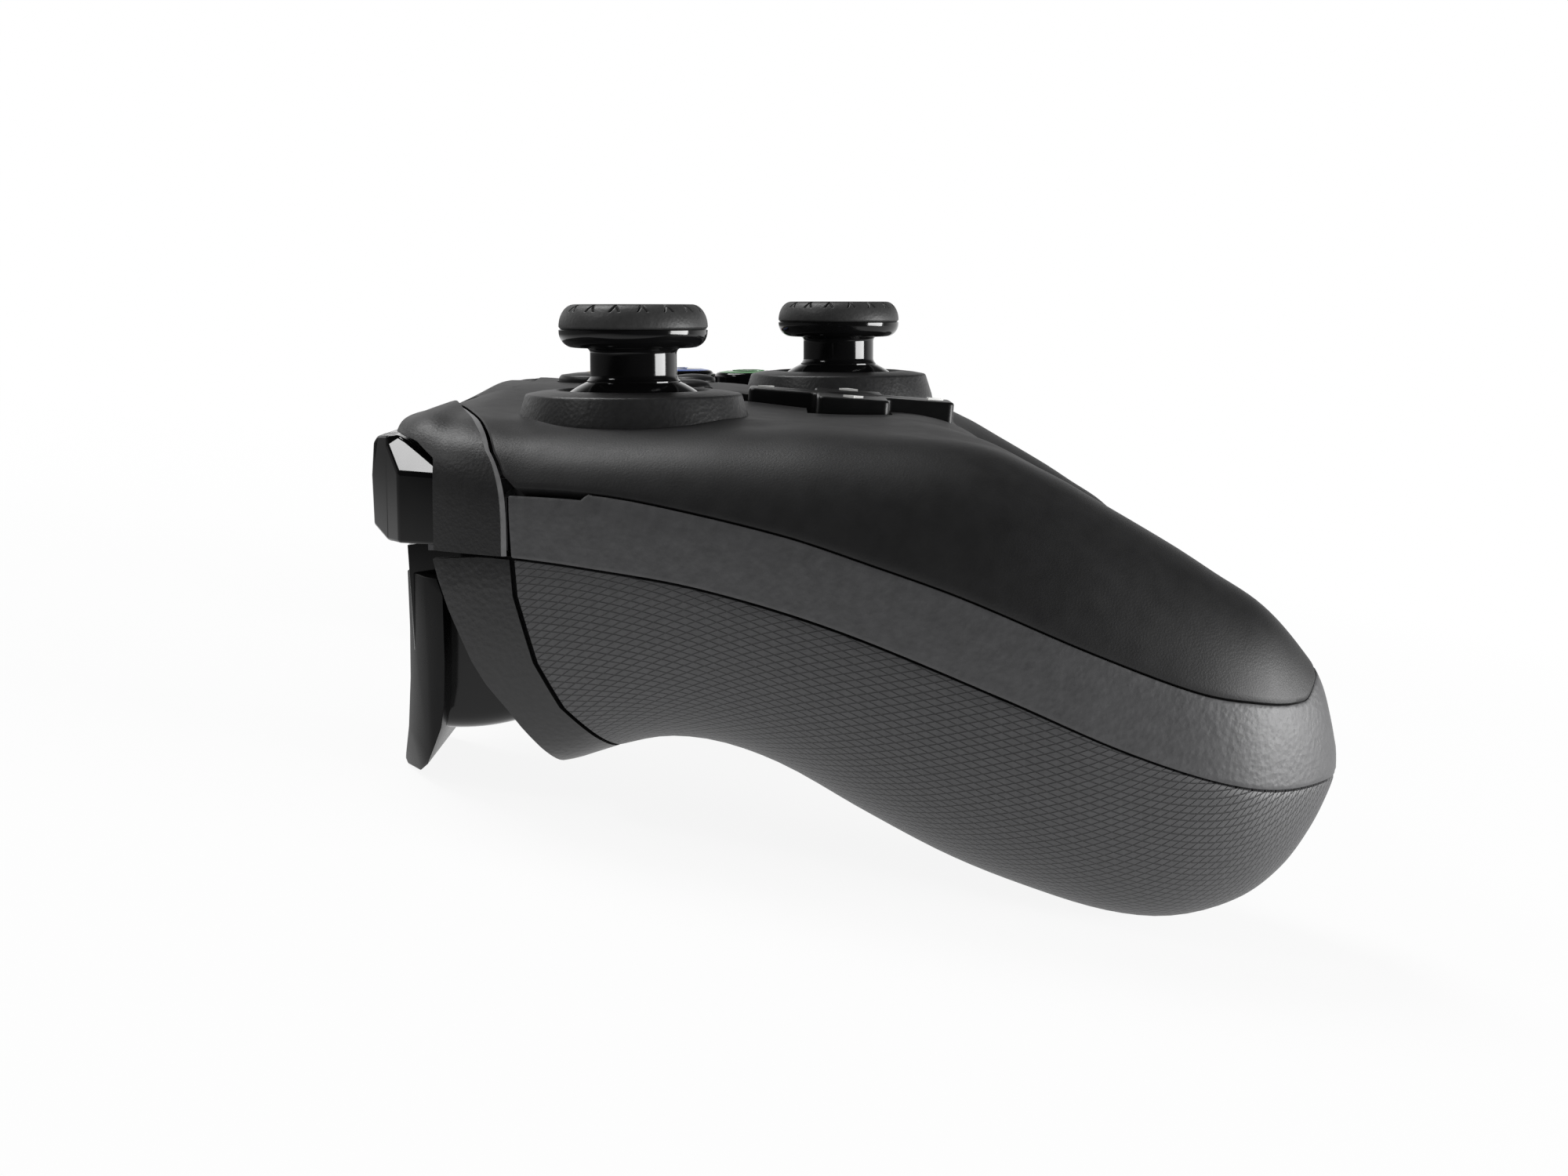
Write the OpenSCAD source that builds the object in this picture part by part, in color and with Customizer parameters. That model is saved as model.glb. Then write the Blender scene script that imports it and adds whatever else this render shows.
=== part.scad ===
// Gamepad controller: a two-handled shell with sticks, direction pad, buttons, bumpers and triggers.
// Drawn with the face level (x right, y to the bumpers, z up), then laid on its handles and trigger tips.

/* [Resting pose] */
// tilt of the face when the pad rests on handles and trigger tips
rest_pitch = 9.6; // [9:0.05:11]
// height of the face above the table at the drawing origin
rest_lift = 47.585; // [45:0.005:52]
// shift that centres the resting pad front to back
rest_shift = 10.9; // [5:0.05:20]

/* [Shell] */
// wall thickness of every shell piece
wall = 2.2; // [2:0.1:2.5]
// extra height of the face along the middle
crown = 2.6; // [2:0.1:3]
// shadow gap between rubber grip and wing
grip_gap = 0.5; // [0.3:0.1:1]
// half width of the front bridge
bridge_half = 21; // [20:0.1:21.5]
// half width where the rubber grips start under the body
grip_from = 33; // [32:0.5:36]
// front plane of collars and bridge
lip_front = 43.8; // [43.5:0.1:44]
// height of the dark slot between top shell and band
slot_h = 0.75; // [0.5:0.05:1]

/* [Sticks] */
// left stick, distance left of the middle
left_stick_x = 42.5; // [41:0.1:44]
// left stick, distance in front of the drawing origin
left_stick_y = 17.8; // [17:0.1:19]
// right stick, distance right of the middle
right_stick_x = 20.5; // [19.5:0.1:21.5]
// right stick, distance behind the drawing origin
right_stick_y = 8; // [7:0.1:9]
// depth of the stick pivots under the face
stick_pivot = 8; // [7.6:0.1:8.4]
// radius of the dome that closes the ring hole
dome_r = 13.3; // [13:0.1:13.5]
// radius of the hole in the ring
ring_hole = 9; // [8.8:0.1:9.4]
// outer radius of the ring at its foot
ring_base = 13.85; // [13.6:0.05:14.2]
// radius of the thumb cap
cap_r = 8.8; // [8.2:0.1:9.4]
// height of the cap top over the face
cap_top = 13; // [12.5:0.1:14]
// radius of the stem
stem_r = 5.13; // [4.8:0.01:5.2]
// radius of the steel shaft
shaft_r = 2; // [1.8:0.1:2.2]

/* [Buttons] */
// middle of the four face buttons, right of the middle
cluster_x = 42.5; // [41:0.1:43.5]
// middle of the four face buttons, in front of the drawing origin
cluster_y = 16; // [15:0.1:17]
// distance of each face button from their middle
cluster_r = 10.4; // [9.8:0.1:11]
// radius of a face button
button_r = 5.25; // [4.8:0.05:5.4]
// travel of a face button
button_travel = 1.5; // [1:0.1:1.6]
// radius of the home button
home_r = 6; // [5.5:0.1:6.4]
// radius of the two small buttons
small_r = 3.2; // [2.8:0.1:3.4]
// gap round every button
button_gap = 0.3; // [0.25:0.05:0.4]

/* [Direction pad] */
// distance left of the middle
dpad_x = 20; // [19.5:0.1:21]
// distance behind the drawing origin
dpad_y = 8.1; // [7.8:0.1:8.8]
// length across the arms
dpad_span = 26.2; // [25:0.1:27]
// width of an arm
dpad_arm = 8.9; // [8:0.1:9.4]
// slope of the pad towards the player
dpad_tilt = 4.2; // [3:0.1:5]
// gap between pad and top shell
dpad_gap = 0.8; // [0.7:0.05:1]

/* [Triggers] */
// lowest point that a trigger skirt sweeps over
skirt_low = -36.3; // [-36.5:0.1:-36.1]
// distance of the trigger pins in front of the drawing origin
pin_y = 38; // [37.8:0.1:38.2]
// radius of the trigger pins
pin_r = 1.2; // [1:0.05:1.4]
// radius of the curved trigger skirt about its pin
skirt_r = 24.8; // [24.5:0.1:25.1]
// thickness of skirt and side walls of a trigger
skirt_wall = 1.8; // [1.4:0.1:2.2]
// radial clearance of turning pins and shafts
fit = 0.06; // [0.04:0.01:0.09]

/* [Motors] */
// radius of a rumble motor
motor_r = 9; // [8:0.1:9.4]
// radius of its eccentric weight
weight_r = 8.4; // [7:0.1:8.8]

/* [Hidden] */
// height of the trigger pins
pin_z = skirt_low + skirt_r;
$fn = 48;
// plan outline of one half, from the front middle round the handle tip to the back middle
outline = [
    [0, 47], [19, 49.5], [37, 51], [52, 49], [61.2, 40], [66.2, 27.5], [71, 6], [75, -15], [76, -34], [72, -51],
    [59.5, -62.6],
    [50.5, -57], [45, -49], [41.5, -42.5], [38.5, -38], [35, -34.5], [31, -31.8], [26, -29.8], [19, -28.8],
    [10, -28.5], [0, -28.5]
];
tip_at = 10;
// height of the face along the pad, from the handle tip to the front
face_line = [[-62.7, -38.3], [-62.2, -35.5], [-60.3, -28.8], [-57.5, -24.5], [-53.1, -19.8], [-47.7, -16.2],
    [-43.4, -13.4], [-34.7, -8.3], [-30.3, -5.8], [-22, -2.3], [-8, -0.8], [5, 0.1], [18, 0], [30, 0.2], [36, 0.8],
    [44, 1.2], [52, 1.4]];
// height of the underside along a handle
under_line = [[-62.7, -38.3], [-61.5, -41.2], [-59.1, -45.4], [-55.6, -49.6], [-50.5, -53], [-43.3, -54.9],
    [-36.1, -54.4], [-27, -51.8], [-18, -48.4], [-9, -43.9], [0, -39], [7, -36.6], [13, -36.1], [18.3, -37.1],
    [25.5, -39.4], [32, -39.4], [52, -37]];
// height of the underside along the middle
belly_line = [[-30, -34], [-10, -33.5], [20, -33], [36, -31], [52, -29]];
blend_from = 22;
blend_to = 50;
// height of the widest point of the section
waist_line = [[-62.7, -38.3], [-55, -37], [-42, -34], [-22, -25.6], [0, -17.2], [14, -14.2], [30, -12.4],
    [52, -12.4]];
// squareness of the section from the middle to the handle tip
square_line = [[0, 4.2], [3, 6.2], [4, 4.8], [5, 3.3], [7, 2.6], [9, 2.3], [10, 2.1]];
// seam between the top shell and the band
seam_top = [[-59.2, -27.5], [-57.3, -29.7], [-49.2, -28.8], [-43.5, -27.4], [-32.7, -23.2], [-18.7, -17.3],
    [-8.3, -13.7], [0, -11.1], [13.6, -8.1], [21, -7], [31, -6.6], [60, -6.6]];
// seam between the band and the grips
seam_low = [[-66, -39.6], [-55.4, -39.4], [-47.2, -37.7], [-36.2, -33.8], [-23.2, -28.1], [-5.7, -21.2],
    [9.2, -17.1], [21.5, -15.2], [30, -14.3], [40, -13.8], [60, -13.8]];
// front edge of the top shell, right half
front_edge = [[0, 36.5], [14, 37.5], [bridge_half, 43], [38, 38.7], [62, 32.3], [72, 26]];
// front edge of the wings behind the triggers
wing_front = [[39.2, -13.8], [38.4, -16.8], [37.2, -20.2], [34.6, -26], [33.1, -28.5], [30.8, -31.4],
    [28.8, -33.8], [25.9, -36.4], [20, -41]];
// edge between wing and grip
wing_back = [[29.9, -12], [29.4, -18.4], [27.3, -25.8], [24.5, -31], [20.9, -34.8], [17, -38.5], [13, -46]];
// clearance between a trigger skirt and the edge of its opening
skirt_gap = 0.6;
// sideways room of trigger and opening
trigger_in = 29.8;
trigger_out = 52;
cheek = 2;
cheek_gap = 0.6;
// screw posts
posts = [[0, -7], [-24.5, 28.5], [24.5, 28.5]];
post_r = 2.6;
post_foot = -24;
// boards
board_top = -15.4;
board_t = 1.6;
deck_top = -8.2;
deck_t = 1.4;
// headset socket and cable socket
jack_z = -25.8;
jack_bore = 1.8;
jack_w = 7.4;
jack_y = -28.9;
cable_z = -8;
cable_w = 10;
cable_h = 4.2;

// value at a place on a hand-drawn line, smooth through its points
function span(k, u, i = 0) = (i >= len(k) - 2 || u <= k[i + 1][0]) ? i : span(k, u, i + 1);
function slope(k, i) =
    let (a = max(i - 1, 0), b = min(i + 1, len(k) - 1))
    (k[b][1] - k[a][1]) / (k[b][0] - k[a][0]);
function curve(k, u) =
    let (
        c = min(max(u, k[0][0]), k[len(k) - 1][0]),
        i = span(k, c), w = k[i + 1][0] - k[i][0], t = (c - k[i][0]) / w
    )
    k[i][1] * (2 * t * t * t - 3 * t * t + 1) + slope(k, i) * w * (t * t * t - 2 * t * t + t)
    + k[i + 1][1] * (3 * t * t - 2 * t * t * t) + slope(k, i + 1) * w * (t * t * t - t * t);
function ease(t) = let (c = min(max(t, 0), 1)) c * c * (3 - 2 * c);
function mean(list) = [for (k = [0:2]) [for (p = list) 1] * [for (p = list) p[k]] / len(list)];
function back(list) = [for (k = [len(list) - 1:-1:0]) list[k]];
function flop(list) = [for (p = list) [-p.x, p.y]];

// plan outline at a place u from 0 (front middle) to 20 (back middle)
function knot(i) = i < 0 ? [-outline[-i].x, outline[-i].y]
    : i > 2 * tip_at ? [-outline[4 * tip_at - i].x, outline[4 * tip_at - i].y] : outline[i];
function rim(u) =
    let (
        i = min(floor(u), 2 * tip_at - 1), t = u - i,
        a = knot(i - 1), b = knot(i), c = knot(i + 1), d = knot(i + 2)
    )
    0.5 * (2 * b + (c - a) * t + (2 * a - 5 * b + 4 * c - d) * t * t + (3 * b - a - 3 * c + d) * t * t * t);

// heights of the skin over the plan
function face_z(x, y) = curve(face_line, y)
    + crown * pow(max(0, 1 - pow(x / 52, 2)), 2) * ease((y + 15) / 35) * (1 - ease((y - 35) / 9));
function belly_z(x, y) =
    let (m = ease((abs(x) - blend_from) / (blend_to - blend_from)))
    curve(belly_line, y) * (1 - m) + curve(under_line, y) * m;

// one point of the skin: station s along the pad, angle a round the section, depth below the skin
function skin(s, a, depth) =
    let (
        o = rim(abs(s)), i = rim(2 * tip_at - abs(s)), d = (i - o) / norm(i - o),
        m = (o + i) / 2, half = norm(i - o) / 2 - depth, n = curve(square_line, abs(s)),
        c = cos(a), h = sign(c) * pow(abs(c), 0.5 + 1 / n), v = pow(max(0, 1 - pow(abs(h), n)), 1 / n),
        p = m - d * half * h, w = curve(waist_line, p.y),
        t = max(face_z(p.x, p.y) - depth, w + 0.1), b = min(belly_z(p.x, p.y) + depth, w - 0.1)
    )
    [(s < 0 ? -1 : 1) * p.x, p.y, a <= 180 ? w + (t - w) * v : w - (w - b) * v];

// closed body through the listed stations
module skin_body(stations, steps, depth) {
    count = len(stations);
    rings = [for (s = stations) [for (j = [0:steps - 1]) skin(s, 360 * j / steps, depth)]];
    points = concat([for (r = rings) each r], [mean(rings[0]), mean(rings[count - 1])]);
    sides = [for (k = [0:count - 2]) for (j = [0:steps - 1])
        let (a = k * steps + j, b = k * steps + (j + 1) % steps)
        each [[a, b + steps, b], [a, a + steps, b + steps]]];
    first = [for (j = [0:steps - 1]) [count * steps, j, (j + 1) % steps]];
    last = [for (j = [0:steps - 1]) let (a = (count - 1) * steps) [count * steps + 1, a + (j + 1) % steps, a + j]];
    polyhedron(points, concat(sides, first, last));
}
round_steps = 28;
inner_steps = 16;
half_stations = [1, 2, 3, 3.5, 4, 4.5, 5, 6, 7, 7.5, 8, 8.5, 9, 9.35, 9.65, 9.85, 9.95];
function both(list) = concat(back(-1 * list), [0], list);
function upto(list, s) = [for (v = list) if (v <= s) v];
function from(list, s) = [for (v = list) if (v >= s) v];
module skin_out() {
    skin_body(both(half_stations), round_steps, 0);
}
module skin_in() {
    skin_body(both(upto(half_stations, 9.4)), inner_steps, wall);
}

// solids that part the skin into its pieces
module side_cut(points, half = 90) {
    rotate([90, 0, 90])
        linear_extrude(2 * half, center = true)
            polygon(points);
}
function along(k, a, b, step) = [for (y = [a:step:b]) [y, curve(k, y)]];
top_line = along(seam_top, -59.2, 59, 4);
low_line = along(seam_low, -66, 59, 5);
module top_region() {
    side_cut(concat(top_line, [[58.8, 14], [-59.2, 14]]));
}
module band_region() {
    side_cut(concat(low_line, back(top_line), [[-59.2, 14], [-66, 14]]));
}
module front_region() {
    side_cut(concat(low_line, [[59, 14], [-66, 14]]));
}
module under_region() {
    side_cut(concat(low_line, [[59, -70], [-66, -70]]));
}
module behind_front_edge() {
    translate([0, 0, -60])
        linear_extrude(90)
            polygon(concat(front_edge, [[95, 12], [95, -70], [-95, -70], [-95, 12]], back(flop(front_edge))));
}
module before_front_edge(inner, outer) {
    edge = [for (p = front_edge) if (p.x >= inner && p.x <= outer) p];
    translate([0, 0, -60])
        linear_extrude(90)
            polygon(concat(edge, [[outer, lip_front], [inner, lip_front]]));
}
module rest() {
    translate([0, rest_shift, rest_lift])
        rotate([-rest_pitch, 0, 0])
            children();
}
module at_side(side) {
    if (side < 0)
        mirror([1, 0, 0])
            children();
    else
        children();
}

// places of the controls
function stick_at(side) = side < 0 ? [-left_stick_x, left_stick_y, 0] : [right_stick_x, -right_stick_y, 0.2];
cluster = [[0, 1], [0, -1], [-1, 0], [1, 0]];
function button_at(k) = let (x = cluster_x + cluster_r * cluster[k].x, y = cluster_y + cluster_r * cluster[k].y)
    [x, y, face_z(x, y)];
home_at = [0, 25, face_z(0, 25)];
function small_at(side) = [side * 10, 13, face_z(10, 13)];
dpad_rise = 4.6;
dpad_at = [-dpad_x, -dpad_y, -0.45 - dpad_rise];
home_travel = 0.8;
button_foot = 4.6;

// holes of the top shell
stick_hole = dome_r - 0.9;
ring_seat = -0.8;
module stick_cut(side) {
    translate(stick_at(side)) {
        translate([0, 0, -12])
            cylinder(r = stick_hole, h = 24);
        translate([0, 0, ring_seat])
            cylinder(r = ring_base + 0.1, h = 12);
        translate([0, 0, -stick_pivot])
            sphere(r = dome_r + 0.5);
    }
}
module round_cut(place, r) {
    translate([place.x, place.y, -8])
        cylinder(r = r + button_gap, h = 20);
}
module cross(grow) {
    square([dpad_span + 2 * grow, dpad_arm + 2 * grow], center = true);
    square([dpad_arm + 2 * grow, dpad_span + 2 * grow], center = true);
}
module at_dpad() {
    translate(dpad_at)
        rotate([dpad_tilt, 0, 0])
            children();
}

module face_plate() {
    color("#1c1c1d")
        rest()
            difference() {
                union() {
                    difference() {
                        intersection() {
                            intersection() {
                                top_region();
                                behind_front_edge();
                            }
                            skin_out();
                        }
                        skin_in();
                    }
                    for (p = posts)
                        translate([p.x, p.y, post_foot])
                            cylinder(r = post_r, h = face_z(p.x, p.y) - wall / 2 - post_foot);
                }
                union() {
                    stick_cut(-1);
                    stick_cut(1);
                    at_dpad()
                        linear_extrude(12)
                            cross(dpad_gap);
                    for (k = [0:3])
                        round_cut(button_at(k), button_r);
                    round_cut(home_at, home_r);
                    round_cut(small_at(-1), small_r);
                    round_cut(small_at(1), small_r);
                    for (p = posts)
                        translate([p.x, p.y, post_foot - 1])
                            cylinder(r = screw_r, h = 10);
                }
            }
}
screw_r = 0.95;
screw_head = 2;

module side_band() {
    slot_from = 21.2;
    color("#3d3e40")
        rest()
            difference() {
                intersection() {
                    difference() {
                        intersection() {
                            band_region();
                            behind_front_edge();
                        }
                        side_cut([[slot_from, curve(seam_top, slot_from) + 0.5],
                            [slot_from + 1, curve(seam_top, slot_from) - slot_h], [40, -6.6 - slot_h], [40, -5]]);
                        jack_room();
                    }
                    skin_out();
                }
                skin_in();
            }
}

module jack_room() {
    translate([-jack_w / 2 - 0.2, jack_y - 4, jack_z - jack_w / 2 - 0.2])
        cube([jack_w + 0.4, 18.4, jack_w + 0.4]);
}
module behind_wing_front() {
    side_cut(concat([[-70, 0], [wing_front[0].x, 0]], wing_front, [[22, -70], [-70, -70]]));
}
module wing_region(gap, before) {
    edge = [for (p = wing_back) [p.x + gap, p.y]];
    side_cut(before ? concat([[70, -12]], edge, [[13 + gap, -70], [70, -70]])
        : concat([[-70, -12]], edge, [[13 + gap, -70], [-70, -70]]));
}
module rear_cover() {
    board_low = board_top - board_t;
    wall_line = [for (p = wing_front) if (p.y > -32) p];
    wall_half = trigger_in - cheek_gap - cheek;
    opening = trigger_out - trigger_in + 2 * cheek_gap;
    color("#262728")
        rest()
            difference() {
                union() {
                    difference() {
                        intersection() {
                            intersection() {
                                under_region();
                                behind_wing_front();
                                union() {
                                    translate([-grip_from, -70, -80])
                                        cube([2 * grip_from, 140, 100]);
                                    wing_region(grip_gap / 2, true);
                                }
                            }
                            skin_out();
                        }
                        skin_in();
                    }
                    side_cut(concat(wall_line, back([for (p = wall_line) [p.x - wall, p.y]])), wall_half);
                    for (p = posts)
                        translate([p.x, p.y, belly_z(p.x, p.y) + wall / 2])
                            cylinder(r = post_r + 1.8, h = board_low - belly_z(p.x, p.y) - wall / 2);
                }
                union() {
                    for (side = [-1, 1])
                        at_side(side)
                            translate([trigger_in - cheek_gap, pin_y, pin_z])
                                rotate([0, 90, 0])
                                    cylinder(r = skirt_r + skirt_gap, h = opening);
                    for (p = posts)
                        translate([p.x, p.y, belly_z(p.x, p.y)]) {
                            translate([0, 0, post_foot - belly_z(p.x, p.y)])
                                cylinder(r = post_r + 0.1, h = 20);
                            translate([0, 0, -2])
                                cylinder(r = screw_r + 0.15, h = 30);
                            translate([0, 0, -2])
                                cylinder(r = screw_head + 0.2, h = 5);
                        }
                    jack_room();
                }
            }
}

// rumble motors lie across the handles
motor_at = [58, -41, -35];
motor_len = 12;
module motor_axis() {
    translate(motor_at)
        rotate([0, 90, 0])
            children();
}
module grip(side) {
    half = from(half_stations, 2);
    color("#353638")
        rest()
            at_side(side)
                difference() {
                    intersection() {
                        intersection() {
                            under_region();
                            wing_region(-grip_gap / 2, false);
                            translate([grip_from, -80, -80])
                                cube([80, 160, 90]);
                        }
                        skin_body(half, round_steps, 0);
                    }
                    difference() {
                        skin_body(upto(half, 9.4), inner_steps, wall);
                        difference() {
                            translate([motor_at.x + 3, motor_at.y - motor_r - 1, -60])
                                cube([5, 2 * motor_r + 2, motor_at.z + 58]);
                            motor_axis()
                                cylinder(r = motor_r + fit, h = motor_len);
                        }
                    }
                }
}
module grip_left() {
    grip(-1);
}
module grip_right() {
    grip(1);
}

// room under the collar lip for a bumper
module bumper_pocket() {
    side_cut([[38.8, -30], [38.8, -3.6], [41, -2.1], [lip_front, -1], [60, -1], [60, -30]]);
}
module collar(side) {
    stations = upto(half_stations, 6);
    color("#2b2c2d")
        rest()
            at_side(side)
                difference() {
                    intersection() {
                        difference() {
                            intersection() {
                                front_region();
                                before_front_edge(bridge_half, 72);
                            }
                            bumper_pocket();
                        }
                        skin_body(stations, round_steps, 0);
                    }
                    skin_body(stations, inner_steps, wall);
                }
}
module collar_left() {
    collar(-1);
}
module collar_right() {
    collar(1);
}

// pivots of the bumpers stand on ears of the bridge
bumper_pivot = [23.4, 43.4];
bumper_low = -13.75;
ear_top = bumper_low - 0.45;
ear_t = 1.55;
module front_bridge() {
    depth = 2.4;
    front = lip_front - 0.2;
    low = ear_top - ear_t;
    color("#2b2c2d")
        rest()
            difference() {
                union() {
                    intersection() {
                        side_cut([[front - depth, low], [front, low], [front, -0.9], [42.6, 0.3], [36.9, 2.9],
                            [36, 3], [36, 0.9], [36.9, 0.7], [front - depth, -1.8]], bridge_half);
                        union() {
                            before_front_edge(0, bridge_half);
                            mirror([1, 0, 0])
                                before_front_edge(0, bridge_half);
                        }
                    }
                    for (side = [-1, 1])
                        at_side(side) {
                            translate([bridge_half - 3, front - depth, low])
                                cube([bumper_pivot.x - bridge_half + 4.8, depth + 1.9, ear_t]);
                            translate([bumper_pivot.x, bumper_pivot.y, ear_top - 0.5])
                                cylinder(r = pin_r, h = 8.2);
                        }
                }
                translate([-cable_w / 2 - 0.2, 30, cable_z - cable_h / 2 - 0.2])
                    cube([cable_w + 0.4, 20, cable_h + 0.4]);
            }
}

// sticks
dome_edge = 59.8;
function dome_point(r, a) = [r * sin(a), r * cos(a) - stick_pivot];
function dome_arc(r, a, b) = [for (k = [0:6]) dome_point(r, a + (b - a) * k / 6)];
module stick_ring(side) {
    clear = dome_r + 0.35;
    foot = acos((stick_pivot + ring_seat) / clear);
    lip = asin(ring_hole / clear);
    color("#2c2d2e")
        rest()
            translate(stick_at(side))
                rotate_extrude()
                    polygon(concat([[ring_hole, 3.2], [ring_base - 0.91, 2.7], [ring_base, ring_seat]],
                        dome_arc(clear, foot, lip)));
}
module stick_ring_left() {
    stick_ring(-1);
}
module stick_ring_right() {
    stick_ring(1);
}
case_w = 17;
case_top = -6.5;
case_bore = 7.4;
trunnion_r = 1.2;
gimbal_r = 6.6;
gimbal_hole = 5;
gimbal_h = 4;
cross_r = 1;
module stick_module(side) {
    p = stick_at(side);
    color("#4a4c4e")
        rest()
            difference() {
                translate([p.x - case_w / 2, p.y - case_w / 2, board_top])
                    cube([case_w, case_w, p.z + case_top - board_top]);
                translate([p.x, p.y, board_top + 1.4])
                    cylinder(r = case_bore, h = 20);
                translate(p + [0, 0, -stick_pivot])
                    rotate([0, 90, 0])
                        cylinder(r = trunnion_r + fit, h = case_w + 2, center = true);
            }
}
module stick_module_left() {
    stick_module(-1);
}
module stick_module_right() {
    stick_module(1);
}
module stick_gimbal(side) {
    color("#8b8d90")
        rest()
            translate(stick_at(side) + [0, 0, -stick_pivot])
                difference() {
                    union() {
                        cylinder(r = gimbal_r, h = gimbal_h, center = true);
                        rotate([0, 90, 0])
                            cylinder(r = trunnion_r, h = case_w - 0.4, center = true);
                    }
                    cylinder(r = gimbal_hole, h = gimbal_h + 2, center = true);
                    rotate([90, 0, 0])
                        cylinder(r = cross_r + fit, h = 20, center = true);
                }
}
module stick_gimbal_left() {
    stick_gimbal(-1);
}
module stick_gimbal_right() {
    stick_gimbal(1);
}
shaft_top = 6.3;
module stick_shaft(side) {
    color("#b9bbbd")
        rest()
            translate(stick_at(side) + [0, 0, -stick_pivot]) {
                cylinder(r = shaft_r, h = stick_pivot + shaft_top);
                sphere(r = 3);
                rotate([90, 0, 0])
                    cylinder(r = cross_r, h = 2 * gimbal_r - 0.6, center = true);
            }
}
module stick_shaft_left() {
    stick_shaft(-1);
}
module stick_shaft_right() {
    stick_shaft(1);
}
cap_seam = cap_top - 2.6;
plate_low = cap_top - 4.9;
module stick_post(side) {
    inner = dome_r - 1.2;
    hub = 3.6;
    color("#101011")
        rest()
            translate(stick_at(side))
                rotate_extrude()
                    polygon(concat([[shaft_r + fit, 0], [hub, 0]], dome_arc(inner, asin(hub / inner), dome_edge),
                        dome_arc(dome_r, dome_edge, asin(stem_r / dome_r)),
                        [[stem_r, plate_low], [cap_r - 1.6, plate_low], [cap_r - 0.5, plate_low + 0.8],
                        [cap_r, plate_low + 1.9], [cap_r, cap_seam], [0, cap_seam], [0, shaft_top + 0.7],
                        [shaft_r + fit, shaft_top + 0.7]]));
}
module stick_post_left() {
    stick_post(-1);
}
module stick_post_right() {
    stick_post(1);
}
module stick_cap(side) {
    color("#1a1a1b")
        rest()
            translate(stick_at(side))
                rotate_extrude()
                    polygon([[0, cap_seam], [cap_r, cap_seam], [cap_r - 0.1, cap_seam + 0.9],
                        [cap_r - 0.5, cap_top - 0.8], [cap_r - 1.3, cap_top - 0.1], [cap_r - 2.4, cap_top],
                        [cap_r - 3.3, cap_top - 0.6], [0, cap_top - 0.9]]);
}
module stick_cap_left() {
    stick_cap(-1);
}
module stick_cap_right() {
    stick_cap(1);
}

// bumpers and triggers
module bumper(side) {
    color("#131314")
        rest()
            at_side(side)
                difference() {
                    union() {
                        intersection() {
                            side_cut([[39.6, -5.2], [41.2, -3.6], [43, -2.4], [44.2, -1.6], [46.8, -1.75],
                                [47.5, -2.6], [47.9, -6.5], [47.7, -12.2], [45.4, bumper_low], [42.4, bumper_low],
                                [42.4, -6.6], [39.6, -6.6]]);
                            translate([0, 0, -40])
                                linear_extrude(60)
                                    polygon([[bridge_half + 0.4, 46.4], [36, 47.9], [49, 47.9], [54, 45],
                                        [56.4, 42.4], [57.2, 39.5], [bridge_half + 0.4, 39.5]]);
                        }
                        translate([0, 0, bumper_low])
                            linear_extrude(8)
                                polygon([[55.4, 36.8], [57.3, 36.8], [57.1, 39.6], [56.4, 42.4], [55.4, 43.5]]);
                    }
                    translate([bumper_pivot.x, bumper_pivot.y, bumper_low - 1])
                        cylinder(r = pin_r + fit, h = 9.3);
                }
}
module bumper_left() {
    bumper(-1);
}
module bumper_right() {
    bumper(1);
}
hub_r = 2.7;
skirt_back = 42;
module skirt_outline() {
    reach = [-sin(skirt_back), -cos(skirt_back)];
    translate([pin_y, pin_z]) {
        circle(r = hub_r);
        intersection() {
            circle(r = skirt_r);
            polygon([[0, 0], [2.2, -2.3], [5.4, -2.8], [5.2, -12], [5, -34], [0, -34], 34 * reach]);
        }
    }
}
module skirt_room() {
    reach = [-sin(skirt_back), -cos(skirt_back)];
    translate([pin_y, pin_z])
        difference() {
            intersection() {
                circle(r = skirt_r - skirt_wall);
                polygon([[-1, -3], [3, -5], [3, -34], [0, -40], 40 * reach + [-4, 3], 4 * reach + [-4, 3]]);
            }
            circle(r = hub_r + 1.2);
        }
}
module along_x(from_x, to_x) {
    translate([from_x, 0, 0])
        rotate([90, 0, 90])
            linear_extrude(to_x - from_x)
                children();
}
module trigger(side) {
    color("#141415")
        rest()
            at_side(side)
                difference() {
                    union() {
                        along_x(trigger_in, trigger_out)
                            skirt_outline();
                        intersection() {
                            side_cut([[43.8, -17.4], [43.6, -24], [43.7, -30], [44.2, -36], [44.8, -39.4],
                                [44.9, -40.2], [44.5, -40.7], [42.4, -40.7], [41.2, -39.5], [40.1, -37],
                                [39.2, -34.8], [38.7, -32], [38.5, -27], [38.6, -19.5], [39.4, -17.6]]);
                            translate([0, 0, -60])
                                linear_extrude(60)
                                    polygon([[trigger_in, 45.4], [47, 45.4], [50, 43.9], [55.2, 40.9], [57.5, 38.4],
                                        [trigger_in, 38.4]]);
                        }
                    }
                    along_x(trigger_in + skirt_wall, trigger_out - skirt_wall)
                        skirt_room();
                    translate([0, pin_y, pin_z])
                        rotate([0, 90, 0])
                            cylinder(r = pin_r + fit, h = 200, center = true);
                }
}
module trigger_left() {
    trigger(-1);
}
module trigger_right() {
    trigger(1);
}
module trigger_pin(side) {
    reach = cheek_gap + cheek;
    color("#c4c6c8")
        rest()
            at_side(side)
                translate([trigger_in - reach, pin_y, pin_z])
                    rotate([0, 90, 0])
                        cylinder(r = pin_r, h = trigger_out - trigger_in + 2 * reach);
}
module trigger_pin_left() {
    trigger_pin(-1);
}
module trigger_pin_right() {
    trigger_pin(1);
}
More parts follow.
